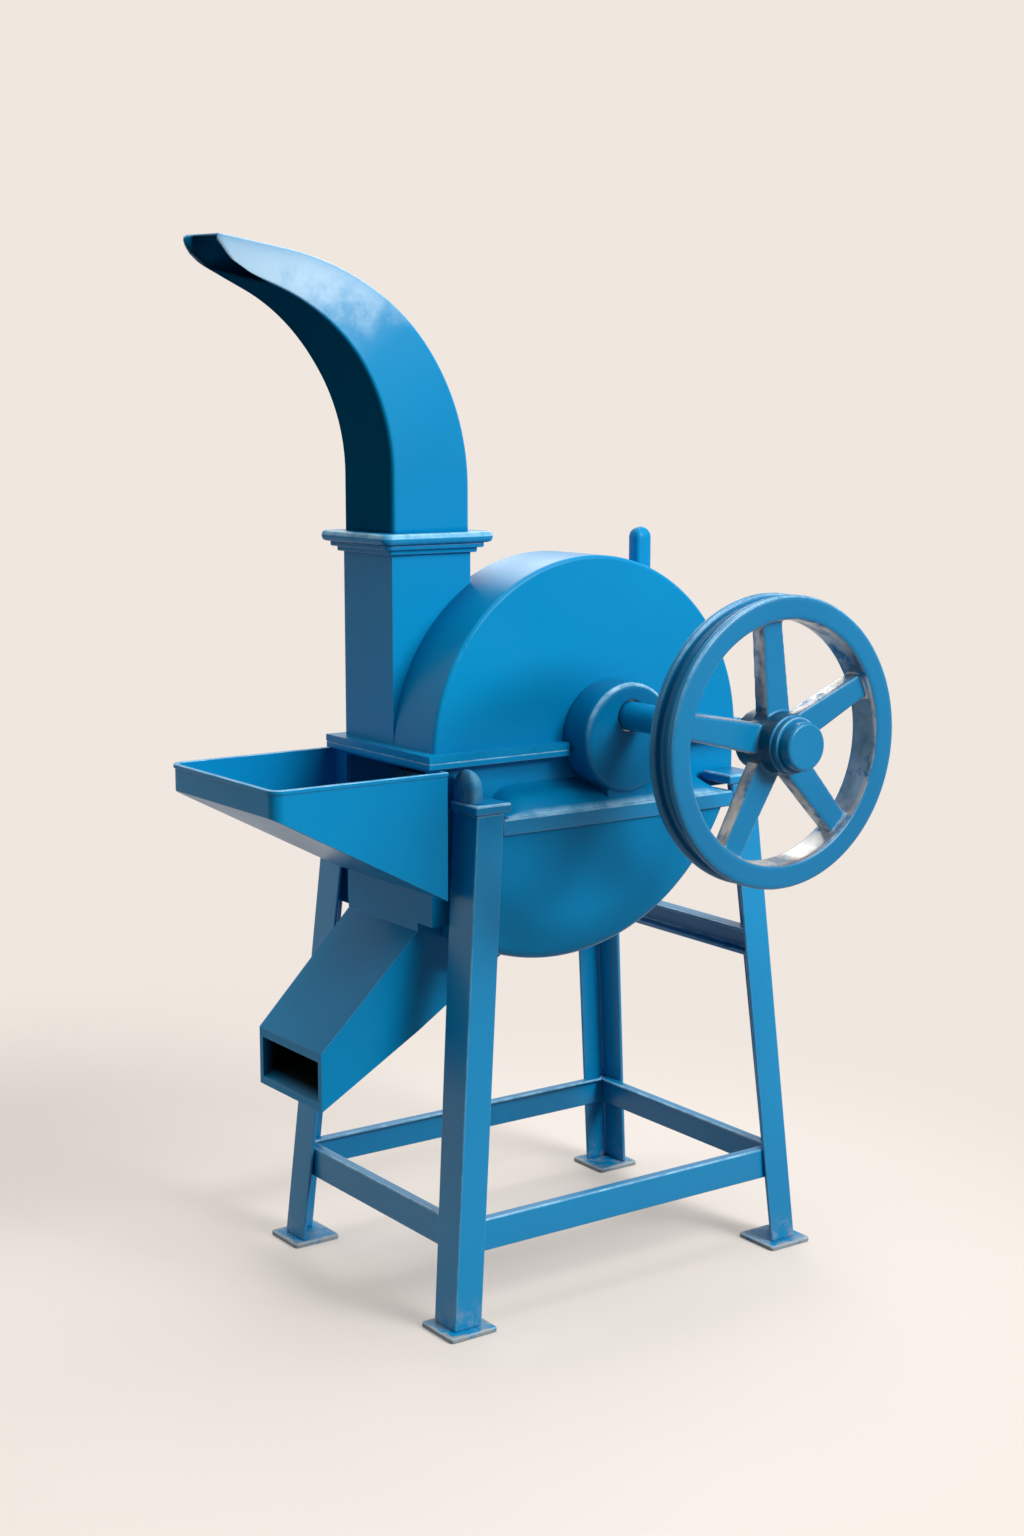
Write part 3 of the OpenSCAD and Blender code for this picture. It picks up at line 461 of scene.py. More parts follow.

# %% [markdown]
# ## The spout
# The spout is folded from four strips of sheet. Its outer and inner walls are paths of straights and arcs,
# and the two side strips fill the gap between them, so one rule gives the whole shape: a point at a
# fraction of the length lies between the outer and the inner path, and its side narrows towards the tip. A
# grid of points wraps round this rule, up the outside, over the lip and back down the inside, so that the
# sheet has its real thickness, and the corners come from a filleted rectangle. The slanted, waved mouth is
# the rule's end: each column of the grid stops at its own fraction of the length. The tree also writes
# where shade is painted, under the spout and inside its lip, and where a pale sheen is painted on its top,
# and the faces with painted shade get a paint without gloss.

# %% Spout sizes
SPOUT = {
    "Rows": 80, "Corner Cuts": 4, "Side Cuts": 5, "Corner Radius": 0.007, "Sheet": 0.003,
    "Inner X": place(-238, 0, 0).x, "Outer X": place(-127, 0, 0).x, "Near Y": place(0, -31, 0).y,
    "Far Y": place(0, 78, 0).y, "Base Z": 0.927, "Tip Depth": 0.056, "Taper From": 0.50, "Taper Power": 1.5,
    "Outer Rise": 0.052, "Outer Radius": 0.268, "Outer Bend": math.radians(55), "Sweep Radius": 0.306,
    "Sweep": math.radians(25), "Outer Run": 0.080,
    "Inner Rise": 0.068, "Inner Radius": 0.229, "Inner Bend": math.radians(67), "Inner Run": 0.068,
    "Heel Cut": 0.125, "Heel Rate": 16.0, "Near Lean": 0.050, "Far Lean": 0.012, "Tip Bow": 0.020,
    "Tip Power": 12.0, "Reach": 0.016, "Far Reach": 0.014, "Far Bulge": 0.060, "Far Heel": 0.40,
    # The last sizes paint shade under the spout and inside its lip, and a pale sheen on its top.
    "Under Edge": 0.06, "Under Fade": 0.05, "Under Soot": 0.75, "Mouth Reach": 1 / 9, "Mouth Soot": 0.85,
    "Chalk": 0.66, "Chalk Edge": 0.40, "Chalk Power": 4.0,
}
print("spout sizes", len(SPOUT))

# %% Paths and grids


def wall_path(t, distance, rise, r1, b1, r2, b2):
    """Place and heading on a wall that starts upwards and bends towards the feed end in two arcs."""
    past_rise = t.math("SUBTRACT", distance, rise)
    past_first = t.math("SUBTRACT", past_rise, t.math("MULTIPLY", r1, b1))
    past_second = t.math("SUBTRACT", past_first, t.math("MULTIPLY", r2, b2))
    a1 = t.math("MINIMUM", t.math("MAXIMUM", t.math("DIVIDE", past_rise, r1), 0.0), b1)
    a2 = t.math("MINIMUM", t.math("MAXIMUM", t.math("DIVIDE", past_first, r2), 0.0), b2)
    heading = t.math("ADD", b1, a2)
    end = t.math("ADD", b1, b2)
    run = t.math("MAXIMUM", past_second, 0.0)
    x = t.math("MULTIPLY", r1, t.math("SUBTRACT", t.math("COSINE", a1), 1.0))
    x = t.math("MULTIPLY_ADD", r2, t.math("SUBTRACT", t.math("COSINE", heading), t.math("COSINE", b1)), x)
    x = t.math("SUBTRACT", x, t.math("MULTIPLY", run, t.math("SINE", end)))
    z = t.math("MULTIPLY_ADD", r1, t.math("SINE", a1), t.math("MINIMUM", distance, rise))
    z = t.math("MULTIPLY_ADD", r2, t.math("SUBTRACT", t.math("SINE", heading), t.math("SINE", b1)), z)
    z = t.math("MULTIPLY_ADD", run, t.math("COSINE", end), z)
    return x, z, t.math("ADD", a1, a2)


def path_length(t, rise, r1, b1, r2, b2, run):
    """The whole length of such a wall."""
    total = t.math("MULTIPLY_ADD", r1, b1, rise)
    return t.math("ADD", t.math("MULTIPLY_ADD", r2, b2, total), run)


def wrapped_grid(t, rows, profile):
    """A grid with one column for each profile point: the mesh, its row numbers and its profile places."""
    points = t.add("GeometryNodeAttributeDomainSize", {"component": "CURVE"}, Geometry=profile)
    columns = t.math("ADD", points, 1.0)
    mesh = t.add("GeometryNodeMeshGrid", Size_X=1.0, Size_Y=1.0, Vertices_X=rows, Vertices_Y=columns)
    index = t.add("GeometryNodeInputIndex")
    row = t.math("FLOOR", t.math("DIVIDE", t.math("ADD", index, 0.5), columns))
    column = t.math("SUBTRACT", index, t.math("MULTIPLY", row, columns))
    column = t.math("MODULO", column, points)
    spot = t.parts(t.add("GeometryNodeSampleIndex", {"data_type": "FLOAT_VECTOR"}, Geometry=profile,
                         Value=t.add("GeometryNodeInputPosition"), Index=column))
    return mesh, row, spot["X"], spot["Y"]


def filleted(t, width, height, radius, cuts):
    """A rectangle with rounded corners."""
    outline = t.add("GeometryNodeCurvePrimitiveQuadrilateral", Width=width, Height=height)
    return t.add("GeometryNodeFilletCurve", {"mode": "POLY"}, Curve=outline, Count=cuts, Radius=radius)


print("grid helpers", wall_path.__name__, wrapped_grid.__name__)

# %% Spout tree
MERGE = 1e-5


def spout_stop(t, v, s, q):
    """The fraction of the length at which a column ends, which gives the slanted, waved mouth."""
    sunk = t.math("EXPONENT", t.math("MULTIPLY", s, t.math("MULTIPLY", v["Heel Rate"], -1.0)))
    heel = t.math("MULTIPLY", t.math("MULTIPLY", v["Heel Cut"], sunk), t.blend(q, 1.0, v["Far Heel"]))
    lean = t.math("MULTIPLY", t.blend(q, v["Near Lean"], v["Far Lean"]), t.math("SUBTRACT", 1.0, s))
    bow = t.math("MULTIPLY", v["Tip Bow"], t.math("POWER", s, v["Tip Power"]))
    swell = t.math("MULTIPLY", s, t.math("SUBTRACT", 1.0, s))
    far = t.math("MULTIPLY", q, t.math("MULTIPLY_ADD", swell, v["Far Bulge"], v["Far Reach"]))
    stop = t.math("ADD", t.math("ADD", v["Reach"], 1.0), far)
    return t.math("SUBTRACT", t.math("SUBTRACT", t.math("SUBTRACT", stop, heel), lean), bow)


def spout_place(t, v, s, q, f, inset, depth):
    """A point's place from its fractions across (s), in depth (q) and along (f), moved in by the inset."""
    outer = (v["Outer Rise"], v["Outer Radius"], v["Outer Bend"], v["Sweep Radius"], v["Sweep"])
    inner = (v["Inner Rise"], v["Inner Radius"], v["Inner Bend"], 1.0, 0.0)
    ox, oz, oa = wall_path(t, t.math("MULTIPLY", f, path_length(t, *outer, v["Outer Run"])), *outer)
    nx, nz, na = wall_path(t, t.math("MULTIPLY", f, path_length(t, *inner, v["Inner Run"])), *inner)
    ox = t.math("SUBTRACT", t.math("ADD", ox, v["Outer X"]), t.math("MULTIPLY", inset, t.math("COSINE", oa)))
    oz = t.math("SUBTRACT", oz, t.math("MULTIPLY", inset, t.math("SINE", oa)))
    nx = t.math("ADD", t.math("ADD", nx, v["Inner X"]), t.math("MULTIPLY", inset, t.math("COSINE", na)))
    nz = t.math("ADD", nz, t.math("MULTIPLY", inset, t.math("SINE", na)))
    taper = t.math("DIVIDE", t.math("MAXIMUM", t.math("SUBTRACT", f, v["Taper From"]), 0.0),
                   t.math("SUBTRACT", 1.0, v["Taper From"]))
    taper = t.math("POWER", taper, v["Taper Power"])
    narrow = t.math("MULTIPLY", taper, t.math("MULTIPLY", t.math("SUBTRACT", depth, v["Tip Depth"]), 0.5))
    narrow = t.math("ADD", narrow, inset)
    y = t.blend(q, t.math("ADD", v["Near Y"], narrow), t.math("SUBTRACT", v["Far Y"], narrow))
    return t.vector(t.blend(s, nx, ox), y, t.math("ADD", t.blend(s, nz, oz), v["Base Z"]))


def spout_marks(t, v, geometry, s, u, inside):
    """Stores `hollow`, painted shade under the spout and inside its lip, and `chalk`, a painted sheen on the
    rest of its outside.
    """
    outside = t.math("SUBTRACT", 1.0, inside)
    under = t.clamp(t.math("DIVIDE", t.math("SUBTRACT", v["Under Edge"], s), v["Under Fade"]))
    under = t.math("MULTIPLY", under, outside)
    mouth = t.clamp(t.math("SUBTRACT", 1.0, t.math("DIVIDE", t.math("SUBTRACT", 1.0, u), v["Mouth Reach"])))
    dark_share = t.math("MAXIMUM", t.math("MULTIPLY", under, v["Under Soot"]),
                  t.math("MULTIPLY", t.math("MULTIPLY", inside, mouth), v["Mouth Soot"]))
    crown = t.math("MULTIPLY", v["Chalk Edge"], t.math("POWER", s, v["Chalk Power"]))
    chalk = t.math("MULTIPLY", t.math("SUBTRACT", v["Chalk"], crown), t.math("SUBTRACT", outside, under))
    return t.store(t.store(geometry, "hollow", dark_share), "chalk", chalk)


def spout_tree():
    """A grid that runs up the outside of the tube and down its inside, bent into the spout."""
    t = Tree("curved_spout", SPOUT)
    v = t.inputs
    width = t.math("SUBTRACT", v["Outer X"], v["Inner X"])
    depth = t.math("SUBTRACT", v["Far Y"], v["Near Y"])
    profile = filleted(t, width, depth, v["Corner Radius"], v["Corner Cuts"])
    profile = t.add("GeometryNodeSubdivideCurve", Curve=profile, Cuts=v["Side Cuts"])
    rows = t.math("MULTIPLY_ADD", v["Rows"], 2.0, 3.0)
    mesh, row, px, py = wrapped_grid(t, rows, profile)
    s = t.math("ADD", t.math("DIVIDE", px, width), 0.5)
    q = t.math("ADD", t.math("DIVIDE", py, depth), 0.5)
    back = t.math("SUBTRACT", t.math("MULTIPLY_ADD", v["Rows"], 2.0, 1.0), row)
    u = t.math("MAXIMUM", t.math("DIVIDE", t.math("MINIMUM", row, back), v["Rows"]), 0.0)
    inside = t.math("MULTIPLY", t.math("GREATER_THAN", row, t.math("ADD", v["Rows"], 0.5)),
                    t.math("GREATER_THAN", back, -0.5))
    inset = t.math("MULTIPLY", inside, v["Sheet"])
    f = t.math("MULTIPLY", u, spout_stop(t, v, s, q))
    spot = spout_place(t, v, s, q, f, inset, depth)
    shaped = t.add("GeometryNodeSetPosition", Geometry=mesh, Position=spot)
    marked = spout_marks(t, v, shaped, s, u, inside)
    closed = t.add("GeometryNodeMergeByDistance", Geometry=marked, Distance=MERGE)
    outward = t.add("GeometryNodeFlipFaces", Mesh=closed)
    t.end(t.add("GeometryNodeSetShadeSmooth", Geometry=outward))
    return t


curved_spout = spout_tree()
print("spout tree", len(curved_spout.group.nodes), "nodes")

# %% Spout
WEIGHTED = ("WEIGHTED_NORMAL", {"weight": 50, "keep_sharp": False})
SHADED_FROM = 0.4
spout_mesh = grown(curved_spout, blue, SPOUT, [WEIGHTED])
dress("spout", spout_mesh, blue)
# The faces with painted shade get the copy without gloss, so they reflect nothing and stay dark.
spout_mesh.materials.append(blue_shaded)
hollow = spout_mesh.attributes["hollow"].data
for polygon in spout_mesh.polygons:
    if min(hollow[i].value for i in polygon.vertices) > SHADED_FROM:
        polygon.material_index = 1
print("spout", len(spout_mesh.vertices), "points, top at", round(max(p.co.z for p in spout_mesh.vertices), 4))

# %% [markdown]
# ## The pulley
# The belt pulley is an iron casting: a grooved rim, five tapering spokes and a hub, with a fillet wherever
# two of them meet. The tree turns three ring sections into the rim, sets one spoke on each of five points,
# and adds the hub. A fine voxel remesh then runs them together into one skin, and a few rounds of smoothing
# leave the soft fillets of a casting. The spray came from the front, so the flanks of the spokes and the
# inside of the rim stay partly grey: their vertices get the attribute `bare`. The outer rounds of the rim
# get `edge`, a painted highlight where they look up, and the corners round the hub are painted darker.

# %% Pulley sizes and rings
PULLEY = {
    "Radius": 0.164, "Rim Thickness": 0.028, "Rim Width": 0.041, "Groove Depth": 0.011, "Lip Width": 0.0105,
    "Edge Radius": 0.004, "Spokes": 5, "First Spoke": math.radians(24), "Spoke Hub Width": 0.036,
    "Spoke Rim Width": 0.028, "Spoke Depth": 0.020, "Spoke Root": 0.004, "Hub Radius": 0.034,
    "Hub Length": 0.060,
}
AXLE = place(15, 0, 707)
PULLEY_MIDDLE = place(15, -420.5, 707)
RING_STEPS = 160


def ring(t, low, high, width, offset, radius):
    """A ring about the Y axis between two radii, with rounded edges."""
    profile = filleted(t, t.math("SUBTRACT", high, low), width, radius, 3)
    mesh, row, px, py = wrapped_grid(t, RING_STEPS + 1, profile)
    turn = t.math("MULTIPLY", row, math.tau / RING_STEPS)
    r = t.math("ADD", px, t.math("MULTIPLY", t.math("ADD", low, high), 0.5))
    spot = t.vector(t.math("MULTIPLY", r, t.math("COSINE", turn)), t.math("ADD", py, offset),
                    t.math("MULTIPLY", r, t.math("SINE", turn)))
    shaped = t.add("GeometryNodeSetPosition", Geometry=mesh, Position=spot)
    return t.add("GeometryNodeMergeByDistance", Geometry=shaped, Distance=MERGE)


print("pulley radius", PULLEY["Radius"], "axle at", [round(v, 4) for v in AXLE])

# %% Pulley tree


def pulley_tree():
    """The grooved rim from three rings, the spokes on points round the axle, and the hub."""
    t = Tree("spoked_pulley", PULLEY)
    v = t.inputs
    inner = t.math("SUBTRACT", v["Radius"], v["Rim Thickness"])
    groove = t.math("SUBTRACT", v["Radius"], v["Groove Depth"])
    lip_at = t.math("MULTIPLY", t.math("SUBTRACT", v["Rim Width"], v["Lip Width"]), 0.5)
    core = ring(t, inner, groove, v["Rim Width"], 0.0, v["Edge Radius"])
    front = ring(t, inner, v["Radius"], v["Lip Width"], t.math("MULTIPLY", lip_at, -1.0), v["Edge Radius"])
    rear = ring(t, inner, v["Radius"], v["Lip Width"], lip_at, v["Edge Radius"])
    block = t.add("GeometryNodeMeshCube", Size=(1.0, 1.0, 1.0))
    spot = t.parts(t.add("GeometryNodeInputPosition"))
    along = t.math("ADD", spot["X"], 0.5)
    start = t.math("MULTIPLY", v["Hub Radius"], 0.5)
    reach = t.blend(along, start, t.math("ADD", inner, v["Spoke Root"]))
    across = t.math("MULTIPLY", spot["Z"], t.blend(along, v["Spoke Hub Width"], v["Spoke Rim Width"]))
    spoke = t.add("GeometryNodeSetPosition", Geometry=block, Position=t.vector(
        reach, t.math("MULTIPLY", spot["Y"], v["Spoke Depth"]), across))
    points = t.add("GeometryNodePoints", Count=v["Spokes"], Position=(0.0, 0.0, 0.0))
    step = t.math("DIVIDE", math.tau, v["Spokes"])
    turn = t.math("MULTIPLY_ADD", t.add("GeometryNodeInputIndex"), step, v["First Spoke"])
    euler = t.vector(0.0, t.math("MULTIPLY", turn, -1.0), 0.0)
    spokes = t.add("GeometryNodeInstanceOnPoints", Points=points, Instance=spoke,
                   Rotation=t.add("FunctionNodeEulerToRotation", Euler=euler))
    barrel = t.add("GeometryNodeMeshCylinder", Vertices=64, Radius=v["Hub Radius"], Depth=v["Hub Length"])
    hub = t.add("GeometryNodeTransform", Geometry=barrel, Rotation=(math.pi / 2, 0.0, 0.0))
    whole = t.join(core, front, rear, spokes, hub)
    t.end(t.add("GeometryNodeTransform", Geometry=t.add("GeometryNodeRealizeInstances", Geometry=whole),
                Translation=tuple(PULLEY_MIDDLE)))
    return t


spoked_pulley = pulley_tree()
print("pulley tree", len(spoked_pulley.group.nodes), "nodes")

# %% Where the pulley's paint differs
LEAST_EDGE, UPWARD_GAIN = 0.08, 1.6
ROUND_LOW, ROUND_HIGH = 0.45, 0.90
BARE_MARGIN, BARE_FACING, BARE_FADE = 0.004, 0.80, 0.35
RIM_ROUND, RIM_HIGHLIGHT = 0.006, 0.55
HUB_DARK, HUB_DARK_FACING, HUB_DARK_FADE = 0.75, 0.85, 0.3
HUB_DARK_FROM, HUB_DARK_TO = -0.002, 0.012


def point_values(mesh, name, rule):
    """Writes a float attribute on the vertices; the rule takes a vertex's place and normal."""
    layer = mesh.attributes.get(name) or mesh.attributes.new(name, "FLOAT", "POINT")
    layer.data.foreach_set("value", [rule(vertex.co, vertex.normal) for vertex in mesh.vertices])


def clamped(value):
    """The value, kept between 0 and 1."""
    return max(0.0, min(1.0, value))


def upward_highlight(normal):
    """How much an edge is lightened, partly rubbed paint and partly painted highlight: all where it looks up,
    a little elsewhere.
    """
    return LEAST_EDGE + (1.0 - LEAST_EDGE) * clamped(normal.z * UPWARD_GAIN)


def from_axle(co):
    """The distance of a point from the middle line of the shaft."""
    return math.hypot(co.x - AXLE.x, co.z - AXLE.z)


def on_round(normal):
    """True on the rounds between faces that look along the shaft and those that look away from it."""
    return ROUND_LOW < abs(normal.y) < ROUND_HIGH


def unsprayed(co, normal):
    """1 on spoke flanks and inside the rim, 0 on faces that look along the shaft."""
    inside = from_axle(co) < PULLEY["Radius"] - PULLEY["Rim Thickness"] + BARE_MARGIN
    away = from_axle(co) > PULLEY["Hub Radius"] + BARE_MARGIN
    return clamped((BARE_FACING - abs(normal.y)) / BARE_FADE) if inside and away else 0.0


def rounded_rim(co, normal):
    """Above 0 on the outer rounds of the rim, for a painted highlight that is strongest where they look up."""
    outside = from_axle(co) > PULLEY["Radius"] - RIM_ROUND
    return RIM_HIGHLIGHT * upward_highlight(normal) if outside and on_round(normal) else 0.0


def darker_round_hub(co, normal):
    """Above 0 in the corners round the hub, where the paint is darker."""
    near_hub = HUB_DARK_FROM < from_axle(co) - PULLEY["Hub Radius"] < HUB_DARK_TO
    return HUB_DARK * clamped((HUB_DARK_FACING - abs(normal.y)) / HUB_DARK_FADE) if near_hub else 0.0


print("paint rules", unsprayed.__name__, rounded_rim.__name__, darker_round_hub.__name__)

# %% Pulley
CAST_VOXEL = 0.0016
PULLEY_ROUNDS = 11


def cast_skin(rounds):
    """Modifiers that run overlapping solids together and leave cast fillets."""
    return [("REMESH", {"mode": "VOXEL", "voxel_size": CAST_VOXEL, "use_smooth_shade": True}),
            ("SMOOTH", {"factor": 0.5, "iterations": rounds})]


pulley_mesh = grown(spoked_pulley, blue_pulley, PULLEY, cast_skin(PULLEY_ROUNDS))
point_values(pulley_mesh, "bare", unsprayed)
point_values(pulley_mesh, "edge", rounded_rim)
point_values(pulley_mesh, "hollow", darker_round_hub)
dress("pulley", pulley_mesh, blue_pulley)
print("pulley", len(pulley_mesh.vertices), "points")

# %% [markdown]
# ## Soft edges
# Real plate has no knife-sharp corners: paint rounds them, and that thin round is what catches the light. A
# copy of each solid is welded, its flat faces are merged into convex ones, and a Bevel modifier rounds what
# is left. A Weighted Normal modifier keeps the flat faces flat. The faces that the bevel makes are
# remembered in the attribute `edge`, which the paint lightens, partly as rubbed paint and partly as a painted
# highlight that is strongest where they look up.

# %% Edge softening
ROUNDED_SLOT = 1
BEVEL_TURN, FLAT_TURN = math.radians(32.0), math.radians(0.6)
WELD = 2e-6


def mark_edges(mesh):
    """Writes the attribute `edge`, rubbed paint and painted highlight: above 0 on the corners of bevel faces,
    0 elsewhere.
    """
    layer = mesh.attributes.new("edge", "FLOAT", "CORNER")
    values = [0.0] * len(mesh.loops)
    for polygon in mesh.polygons:
        if polygon.material_index == ROUNDED_SLOT:
            for corner in polygon.loop_indices:
                values[corner] = upward_highlight(polygon.normal)
            polygon.material_index = 0
    layer.data.foreach_set("value", values)


def softened(source, width, segments=2):
    """A copy of a solid's mesh with its edges rounded to the given width in millimetres."""
    mesh = source.data.copy()
    work = bmesh.new()
    work.from_mesh(mesh)
    bmesh.ops.remove_doubles(work, verts=work.verts, dist=WELD)
    bmesh.ops.dissolve_limit(work, angle_limit=FLAT_TURN, verts=work.verts, edges=work.edges)
    bmesh.ops.connect_verts_concave(work, faces=work.faces)
    for face in work.faces:
        face.smooth = True
        face.material_index = 0
    work.to_mesh(mesh)
    work.free()
    mesh.materials.clear()
    for _ in range(ROUNDED_SLOT + 1):
        mesh.materials.append(None)
    bevel = {"width": width * MM, "segments": segments, "limit_method": "ANGLE", "angle_limit": BEVEL_TURN,
             "use_clamp_overlap": True, "material": ROUNDED_SLOT}
    result = modified(mesh, [("BEVEL", bevel), WEIGHTED])
    mark_edges(result)
    return result


print("edge helper", softened.__name__)

# %% [markdown]
# ## Bearing housings
# The two bearing housings are plain iron castings that hold the shaft on the rails. Their shape needs no
# rule, so their solids get soft edges first and then the same skin as the pulley, without a tree.

# %% Bearing housings
HOUSING_EDGE, HOUSING_SEGMENTS, HOUSING_ROUNDS = 1.5, 4, 4
for node in ("bearing_housing_near", "bearing_housing_far"):
    mesh = softened(frame["nodes"][node], HOUSING_EDGE, HOUSING_SEGMENTS)
    mesh = modified(mesh, cast_skin(HOUSING_ROUNDS))
    # The rounded rims get `edge`, a painted highlight that is strongest where they look up.
    point_values(mesh, "edge", lambda co, normal: upward_highlight(normal) if on_round(normal) else 0.0)
    dress(node, mesh, blue_iron)
    print(node, len(mesh.vertices), "points")

# %% [markdown]
# ## The lug and the ear
# The lug that lifts the cover and the ear on the near leg are forged thumbs: an oval bar with a domed top.
# A few dozen oval rings stacked to the height of the solid give them, and each ring's size follows a
# quarter ellipse in the dome. The foot of the lug follows the round of the drum. The paint on the ear is
# worn pale.

# %% Thumbs
DRUM_MIDDLE, DRUM_RADIUS = place(0, 0, 668), 0.230
RING_GAP = 0.01


def finished(work, name):
    """Turns a bmesh into a mesh and frees it."""
    mesh = bpy.data.meshes.new(name)
    work.to_mesh(mesh)
    work.free()
    return mesh


def thumb(node, dome, material, on_drum=False, points=48, straight=14, domed=14, power=0.55):
    """Dresses one upright solid as an oval bar with a domed top of the given height in millimetres."""
    corners = [v.co for v in frame["nodes"][node].data.vertices]
    low = Vector([min(c[i] for c in corners) for i in range(3)])
    high = Vector([max(c[i] for c in corners) for i in range(3)])
    middle, half = (low + high) / 2, (high - low) / 2
    shoulder = high.z - dome * MM
    levels = [(low.z + (shoulder - low.z) * i / straight, 1.0) for i in range(straight)]
    for i in range(domed):
        angle = math.pi / 2 * i / domed
        levels.append((shoulder + dome * MM * math.sin(angle), math.cos(angle)))
    work = bmesh.new()
    rings = []
    for z, size in levels:
        ring_points = []
        for k in range(points):
            c, s = math.cos(math.tau * k / points), math.sin(math.tau * k / points)
            x = middle.x + half.x * size * math.copysign(abs(c) ** power, c)
            y = middle.y + half.y * size * math.copysign(abs(s) ** power, s)
            foot = DRUM_MIDDLE.z + math.sqrt(DRUM_RADIUS ** 2 - (x - DRUM_MIDDLE.x) ** 2) if on_drum else low.z
            ring_points.append(work.verts.new((x, y, max(z, foot + (z - low.z) * RING_GAP))))
        rings.append(ring_points)
    for lower, upper in zip(rings, rings[1:]):
        for k in range(points):
            work.faces.new((lower[k], lower[(k + 1) % points], upper[(k + 1) % points], upper[k]))
    tip = work.verts.new((middle.x, middle.y, high.z))
    for k in range(points):
        work.faces.new((rings[-1][k], rings[-1][(k + 1) % points], tip))
    work.faces.new(list(reversed(rings[0])))
    bmesh.ops.recalc_face_normals(work, faces=work.faces)
    for face in work.faces:
        face.smooth = len(face.verts) < 5
    return dress(node, finished(work, "thumb"), material)


for node, dome, material, on_drum in (("cover_lug", 13.0, blue, True), ("post_ear", 22.0, blue_worn, False)):
    piece = thumb(node, dome, material, on_drum)
    print(node, len(piece.data.polygons), "faces")

# %% [markdown]
# ## The apron on the near rail
# Between the recessed wall of the casing and the near rail lies a narrow, sloping strip of sheet that
# throws chaff off the rail. It is one profile of six points pulled along the rail and flattened towards
# both ends, so plain mesh code is enough. Its front row gets the attribute `edge`, a painted highlight
# where the front edge catches the light.

# %% Apron
APRON_PROFILE = ((-166.5, 601.2), (-158.0, 607.5), (-149.0, 613.0), (-138.0, 618.0), (-125.0, 623.0),
                 (-112.2, 630.0))
APRON_STATIONS = ((-165.8, 0.10), (-158.0, 0.30), (-148.0, 0.70), (-138.0, 0.93), (-128.0, 1.0),
                  (128.0, 1.0), (138.0, 0.93), (148.0, 0.70), (158.0, 0.30), (165.8, 0.10))
APRON_SINK, APRON_CREASE, APRON_FRONT = 0.5, math.radians(40), 0.001


def apron_mesh():
    """The sloping strip as a closed ridge along X that runs out flat at both ends."""
    base = APRON_PROFILE[0][1]
    outline = [*APRON_PROFILE, (APRON_PROFILE[-1][0], base - APRON_SINK)]
    work = bmesh.new()
    rings = [[work.verts.new(place(x, y, base + (z - base) * height)) for y, z in outline]
             for x, height in APRON_STATIONS]
    count = len(outline)
    for left, right in zip(rings, rings[1:]):
        for i in range(count):
            work.faces.new((left[i], left[(i + 1) % count], right[(i + 1) % count], right[i])).smooth = True
    work.faces.new(rings[0])
    work.faces.new(rings[-1])
    bmesh.ops.recalc_face_normals(work, faces=work.faces)
    mesh = finished(work, "rail_apron")
    mesh.set_sharp_from_angle(angle=APRON_CREASE)
    front = place(0.0, APRON_PROFILE[0][0], 0.0).y + APRON_FRONT
    # The front row is lightened as a painted highlight.
    point_values(mesh, "edge", lambda co, normal: 1.0 if co.y < front else 0.0)
    return mesh


apron = add_object("rail_apron", apron_mesh())
apron.data.materials.append(blue)
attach(apron, BODY_OF["rail_near"])
print("apron", len(apron.data.polygons), "faces")

# %% [markdown]
# ## Every other piece
# All other solids are sheet, angle iron or turned steel, and only need the soft edges and their finish: a
# glossier coat for the frame's iron, and dust round the foot plates. The chute's inside shows, so its inner
# walls are marked and painted black behind the mouth, as painted shade.

# %% Sheet, angle iron and steel
EDGE_WIDTH = {
    "upper_casing": 1.5, "lower_casing": 1.5, "catch_casing": 1.5, "discharge_chute": 2.8, "feed_tray": 1.9,
    "spout_flange": 5.5, "duct_collar": 2.0, "leg_caps": 2.8, "foot_plates": 1.5, "hub_washer": 1.5,
    "hub_cap": 1.2, "shaft": 0.8, "screen": 0.3, "feed_bed": 0.5, "counter_knife": 0.5, "rail_near": 3.0,
    "rail_far": 3.0,
}
DEFAULT_EDGE, STEEL_EDGE = 2.0, 0.6
FRAME_IRON = ("leg_", "stretcher_", "rail_", "rear_channel")


def mark_hollow(mesh, reach=0.25, start=0.0005):
    """Writes the attribute `hollow`, for painted shade: 1 on the corners of faces that look at another wall of
    the same mesh.
    """
    tree = BVHTree.FromPolygons([v.co for v in mesh.vertices], [p.vertices for p in mesh.polygons])
    layer = mesh.attributes.new("hollow", "FLOAT", "CORNER")
    values = [0.0] * len(mesh.loops)
    for polygon in mesh.polygons:
        if tree.ray_cast(polygon.center + polygon.normal * start, polygon.normal, reach)[0] is not None:
            for corner in polygon.loop_indices:
                values[corner] = 1.0
    layer.data.foreach_set("value", values)


for node, solid in sorted(frame["nodes"].items()):
    if node in dressed:
        continue
    is_bare = SLOT_OF[node] == "bare_steel"
    paint = blue_pulley if SLOT_OF[node] == "blue_cast_iron" else blue
    if node.startswith(FRAME_IRON):
        paint = blue_frame
    if node == "foot_plates":
        paint = blue_feet
    mesh = softened(solid, EDGE_WIDTH.get(node, STEEL_EDGE if is_bare else DEFAULT_EDGE))
    if node == "discharge_chute":
        mark_hollow(mesh)
        # Behind the mouth the chute's inside is painted black as painted shade.
        paint = enamel("blue_enamel_chute", mouth=min(v.co.x for v in mesh.vertices), dark_colour=SHADE_BLACK)
    dress(node, mesh, steel if is_bare else paint)
print("dressed pieces", len(dressed), "of", len(frame["nodes"]))

